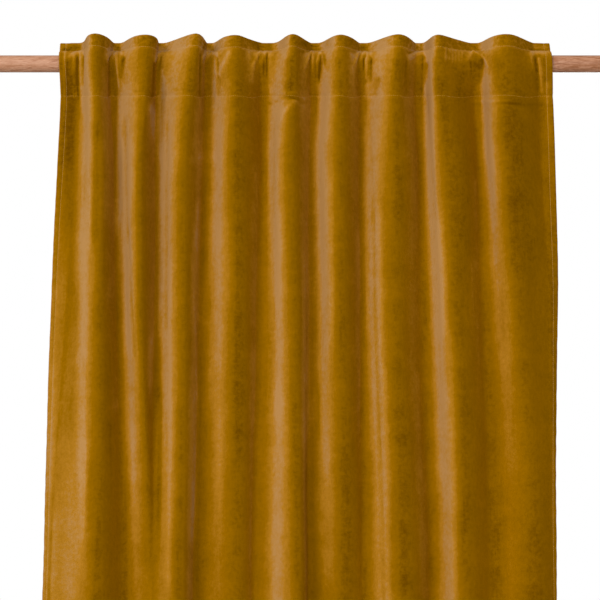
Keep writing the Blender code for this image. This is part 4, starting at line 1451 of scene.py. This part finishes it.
class LoopTabs(Operator):
    """Loops a tab behind each valley of the heading, with the rod through it"""

    bl_idname = "curtain.loop_tabs"
    bl_label = "Loop Tabs"

    def execute(self, context):
        settings = context.scene.curtain.cloth
        tab = settings.tape_thickness / MM
        behind = (settings.thickness / 2 + 2 * settings.tape_gap) / MM + 1.5 * tab
        middle = 1 + (len(VALLEY_POINTS) - 1) / 2
        sewn = []
        for drop in (HEADER - TAPE_LIP, HEADER, SEAM_2 - TAPE_LIP, SEAM_2, SEAM_2 + TAPE_LIP):
            above, here, below = (
                cloth_row(drop + step, [middle])[0, 1:] for step in (-0.5, 0.0, 0.5)
            )
            run = (below - above) / np.linalg.norm(below - above)
            away = np.array([-run[1], run[0]])
            away = away if away[0] < 0 else -away
            extra = (settings.thickness + settings.hem_gap) / MM if drop <= HEADER else 0.0
            sewn.append(here - away * (behind + extra))
        reach = ROD_DIAMETER / 2 + ROD_GAP + tab / 2
        angles = np.radians(np.linspace(LOOP_FIRST, LOOP_LAST, LOOP_ARCS + 1))
        around = [np.array([-reach * math.cos(a), reach * math.sin(a)]) for a in angles]
        shares = np.arange(1, SLACK_STEPS) / SLACK_STEPS
        slack = [
            around[-1] + (sewn[2] - around[-1]) * share
            + np.array([LOOP_SLACK * math.sin(math.pi * share), 0.0])
            for share in shares
        ]
        line = np.array(sewn[:2] + around + slack + sewn[2:])
        run = np.gradient(line, axis=0)
        run /= np.linalg.norm(run, axis=1)[:, None]
        away = np.stack([-run[:, 1], run[:, 0]], axis=1)
        length = lengths_along(line)
        material = shared_material("cotton_tape")
        centres = [fold.valley for fold in AT_HEADING.folds] + [AT_HEADING.ends.valley]
        halves = np.linspace(-0.5, 0.5, TAB_COLUMNS)
        for number, place in enumerate(centres, start=1):
            across = np.tile(place + halves * TAB_WIDTH, (len(line), 1))
            grids = []
            for side in (-0.5, 0.5):
                grid = np.empty((*across.shape, 3))
                grid[:, :, 0] = across
                grid[:, :, 1:] = (line + away * tab * side)[:, None, :]
                grids.append(grid)
            flat = np.stack([across, np.broadcast_to(length[:, None], across.shape)], axis=2)
            name = f"back_tab_{number:02d}"
            mesh = shell_mesh(name, *grids, flat, (material,))
            piece = add_piece(name, mesh, "tape", f"tab_{number:02d}")
        return {"FINISHED"}


class StitchSeams(Operator):
    """Sews the rows of stitches along both seams, the side hems and the bottom hem"""

    bl_idname = "curtain.stitch_seams"
    bl_label = "Stitch Seams"

    def execute(self, context):
        settings = context.scene.curtain.cloth
        stitches = context.scene.curtain.stitches
        cloth = draped_cloth()
        half = settings.thickness / MM / 2
        material = shared_material("mustard_thread")
        seam_rows = [cloth.row_index(drop) for drop in (HEADER, SEAM_2)]
        layer = (settings.thickness + settings.hem_gap) / MM

        def both_sides(*part):
            """Lines of stitches on the face and the back of a hem, along part of the cloth."""
            points, normals = cloth.middle[part], cloth.normals[part]
            face = (points + normals * half, normals)
            return [face, (points - normals * (half + layer), -normals)]

        face_lines, tape_lines = [], []
        for row, sunk in zip(seam_rows, (0.0, LOWER_SEAM_SUNK)):
            points, normals = cloth.middle[row, 1:-1], cloth.normals[row, 1:-1]
            face_lines.append((points + normals * (half - sunk), normals))
            behind = tape_offset(cloth.drops[row], settings) + settings.tape_thickness / MM / 2
            part = slice(TAPE_STITCH_INSET, -TAPE_STITCH_INSET)
            normals = cloth.normals[row, part]
            tape_lines.append((cloth.middle[row, part] - normals * behind, -normals))
        column = EDGE_COLUMNS.index(HEM_STITCH_COLUMN)
        hem_lines = both_sides(slice(None), column) + both_sides(slice(None), -1 - column)
        foot = slice(FOOT_STITCH_INSET, -FOOT_STITCH_INSET)
        foot_lines = both_sides(cloth.row_index(HEM_STITCH_DROP), foot)
        rows = (
            ("seam_stitches", face_lines),
            ("tape_stitches", tape_lines),
            ("side_hem_stitches", hem_lines),
            ("bottom_hem_stitches", foot_lines),
        )
        pieces = [
            add_piece(name, stitch_mesh(name, lines, stitches, material), "velvet")
            for name, lines in rows
        ]
        seam_run = float(cloth.runs[cloth.row_index(SEAM_2), -1])
        return {"FINISHED"}


class FinishRod(Operator):
    """Gives the rod its oak"""

    bl_idname = "curtain.finish_rod"
    bl_label = "Finish Rod"

    def execute(self, context):
        rod = frame["nodes"]["rod"]
        rod.data.materials.clear()
        rod.data.materials.append(shared_material("oiled_oak"))
        return {"FINISHED"}


# Middle of what the camera sees, and the place and size of each light, in metres.
MIDDLE = Vector((0.0, 0.0, -0.45))
KEY_PLACE, KEY_SIZE = Vector((-5.71, -7.31, 3.3)), (3.0, 5.0)
FRONT_PLACE, FRONT_SIZE = Vector((0.4, -4.3, 0.2)), (1.6, 1.6)
BACK_PLACE, BACK_SIZE = Vector((1.8, 4.2, 0.8)), (2.0, 2.0)


class SetStage(Operator):
    """Sets the camera, the soft studio lights and the pale floor"""

    bl_idname = "curtain.set_stage"
    bl_label = "Set Stage"

    def execute(self, context):
        stage = context.scene.curtain.stage
        self.add_camera(context, stage)
        self.add_light(context, "key_light", KEY_PLACE, KEY_SIZE, stage.key_power)
        self.add_light(context, "front_light", FRONT_PLACE, FRONT_SIZE, stage.fill_power)
        self.add_light(context, "back_light", BACK_PLACE, BACK_SIZE, stage.back_power)
        self.add_room_light(context, stage)
        self.add_floor(context, stage)
        context.scene.view_settings.view_transform = "Standard"
        return {"FINISHED"}

    def add_camera(self, context, stage):
        data = bpy.data.cameras.new("camera")
        data.sensor_width = 36.0
        data.lens = data.sensor_width / 2 / math.tan(stage.view_angle / 2)
        camera = bpy.data.objects.new("camera", data)
        context.scene.collection.objects.link(camera)
        camera.location = stage.camera_place
        aim = Vector(stage.camera_aim) - Vector(stage.camera_place)
        camera.rotation_euler = aim.to_track_quat("-Z", "Y").to_euler()
        context.scene.camera = camera

    def add_light(self, context, name, place, size, power):
        data = bpy.data.lights.new(name, "AREA")
        data.shape = "RECTANGLE"
        data.size, data.size_y = size
        data.energy = power
        light = bpy.data.objects.new(name, data)
        context.scene.collection.objects.link(light)
        light.location = place
        light.rotation_euler = (MIDDLE - place).to_track_quat("-Z", "Y").to_euler()

    def add_room_light(self, context, stage):
        """Even room light, in front of a background that is plain white to the camera."""
        world = bpy.data.worlds.new("white_studio")
        context.scene.world = world
        world.use_nodes = True
        tree = world.node_tree
        background = tree.nodes["Background"]
        background.inputs["Color"].default_value = (1.0, 1.0, 1.0, 1.0)
        seen = tree.nodes.new("ShaderNodeLightPath").outputs["Is Camera Ray"]
        ways = tree.nodes.new("ShaderNodeTexCoord").outputs["Generated"]
        up = add_node(tree, "SeparateXYZ", Vector=ways).outputs["Z"]
        levels = {"To_Min": stage.low_light, "To_Max": stage.room_light}
        height = add_node(tree, "MapRange", Value=up, From_Min=-1.0, **levels)
        unseen = math_node(tree, "SUBTRACT", 1.0, seen)
        room = math_node(tree, "MULTIPLY", unseen, height.outputs["Result"])
        light = math_node(tree, "ADD", room, seen)
        tree.links.new(light, background.inputs["Strength"])

    def add_floor(self, context, stage):
        half = stage.floor_size / 2
        mesh = bpy.data.meshes.new("floor")
        corners = [(-half, -half, 0), (half, -half, 0), (half, half, 0), (-half, half, 0)]
        mesh.from_pydata(corners, [], [(0, 1, 2, 3)])
        mesh.materials.append(floor_material("pale_floor"))
        floor = bpy.data.objects.new("floor", mesh)
        context.scene.collection.objects.link(floor)
        floor.location = (0.0, 0.0, stage.floor_height)


OPERATORS = (HangPanel, SewTape, LoopTabs, StitchSeams, FinishRod, SetStage)


class CurtainPanel(Panel):
    """Steps of the curtain, and the sizes and colours behind them"""

    bl_idname = "VIEW3D_PT_curtain"
    bl_label = "Velvet Curtain"
    bl_space_type = "VIEW_3D"
    bl_region_type = "UI"
    bl_category = "Curtain"

    def draw(self, context):
        for operator in OPERATORS:
            self.layout.operator(operator.bl_idname)
        settings = context.scene.curtain
        for title, group in (
            ("Cloth", settings.cloth),
            ("Stitches", settings.stitches),
            ("Look", settings.look),
            ("Stage", settings.stage),
        ):
            box = self.layout.box()
            box.label(text=title)
            for name in group.bl_rna.properties.keys():
                if name not in ("rna_type", "name"):
                    box.prop(group, name)


CLASSES = (
    ClothSettings,
    StitchSettings,
    LookSettings,
    StageSettings,
    CurtainSettings,
    *OPERATORS,
    CurtainPanel,
)


def register():
    for made in CLASSES:
        bpy.utils.register_class(made)
    bpy.types.Scene.curtain = PointerProperty(type=CurtainSettings)


def unregister():
    del bpy.types.Scene.curtain
    for made in reversed(CLASSES):
        bpy.utils.unregister_class(made)


def main():
    register()
    bpy.ops.curtain.set_stage()
    bpy.ops.curtain.hang_panel()
    bpy.ops.curtain.sew_tape()
    bpy.ops.curtain.loop_tabs()
    bpy.ops.curtain.stitch_seams()
    bpy.ops.curtain.finish_rod()


if __name__ == "__main__":
    main()
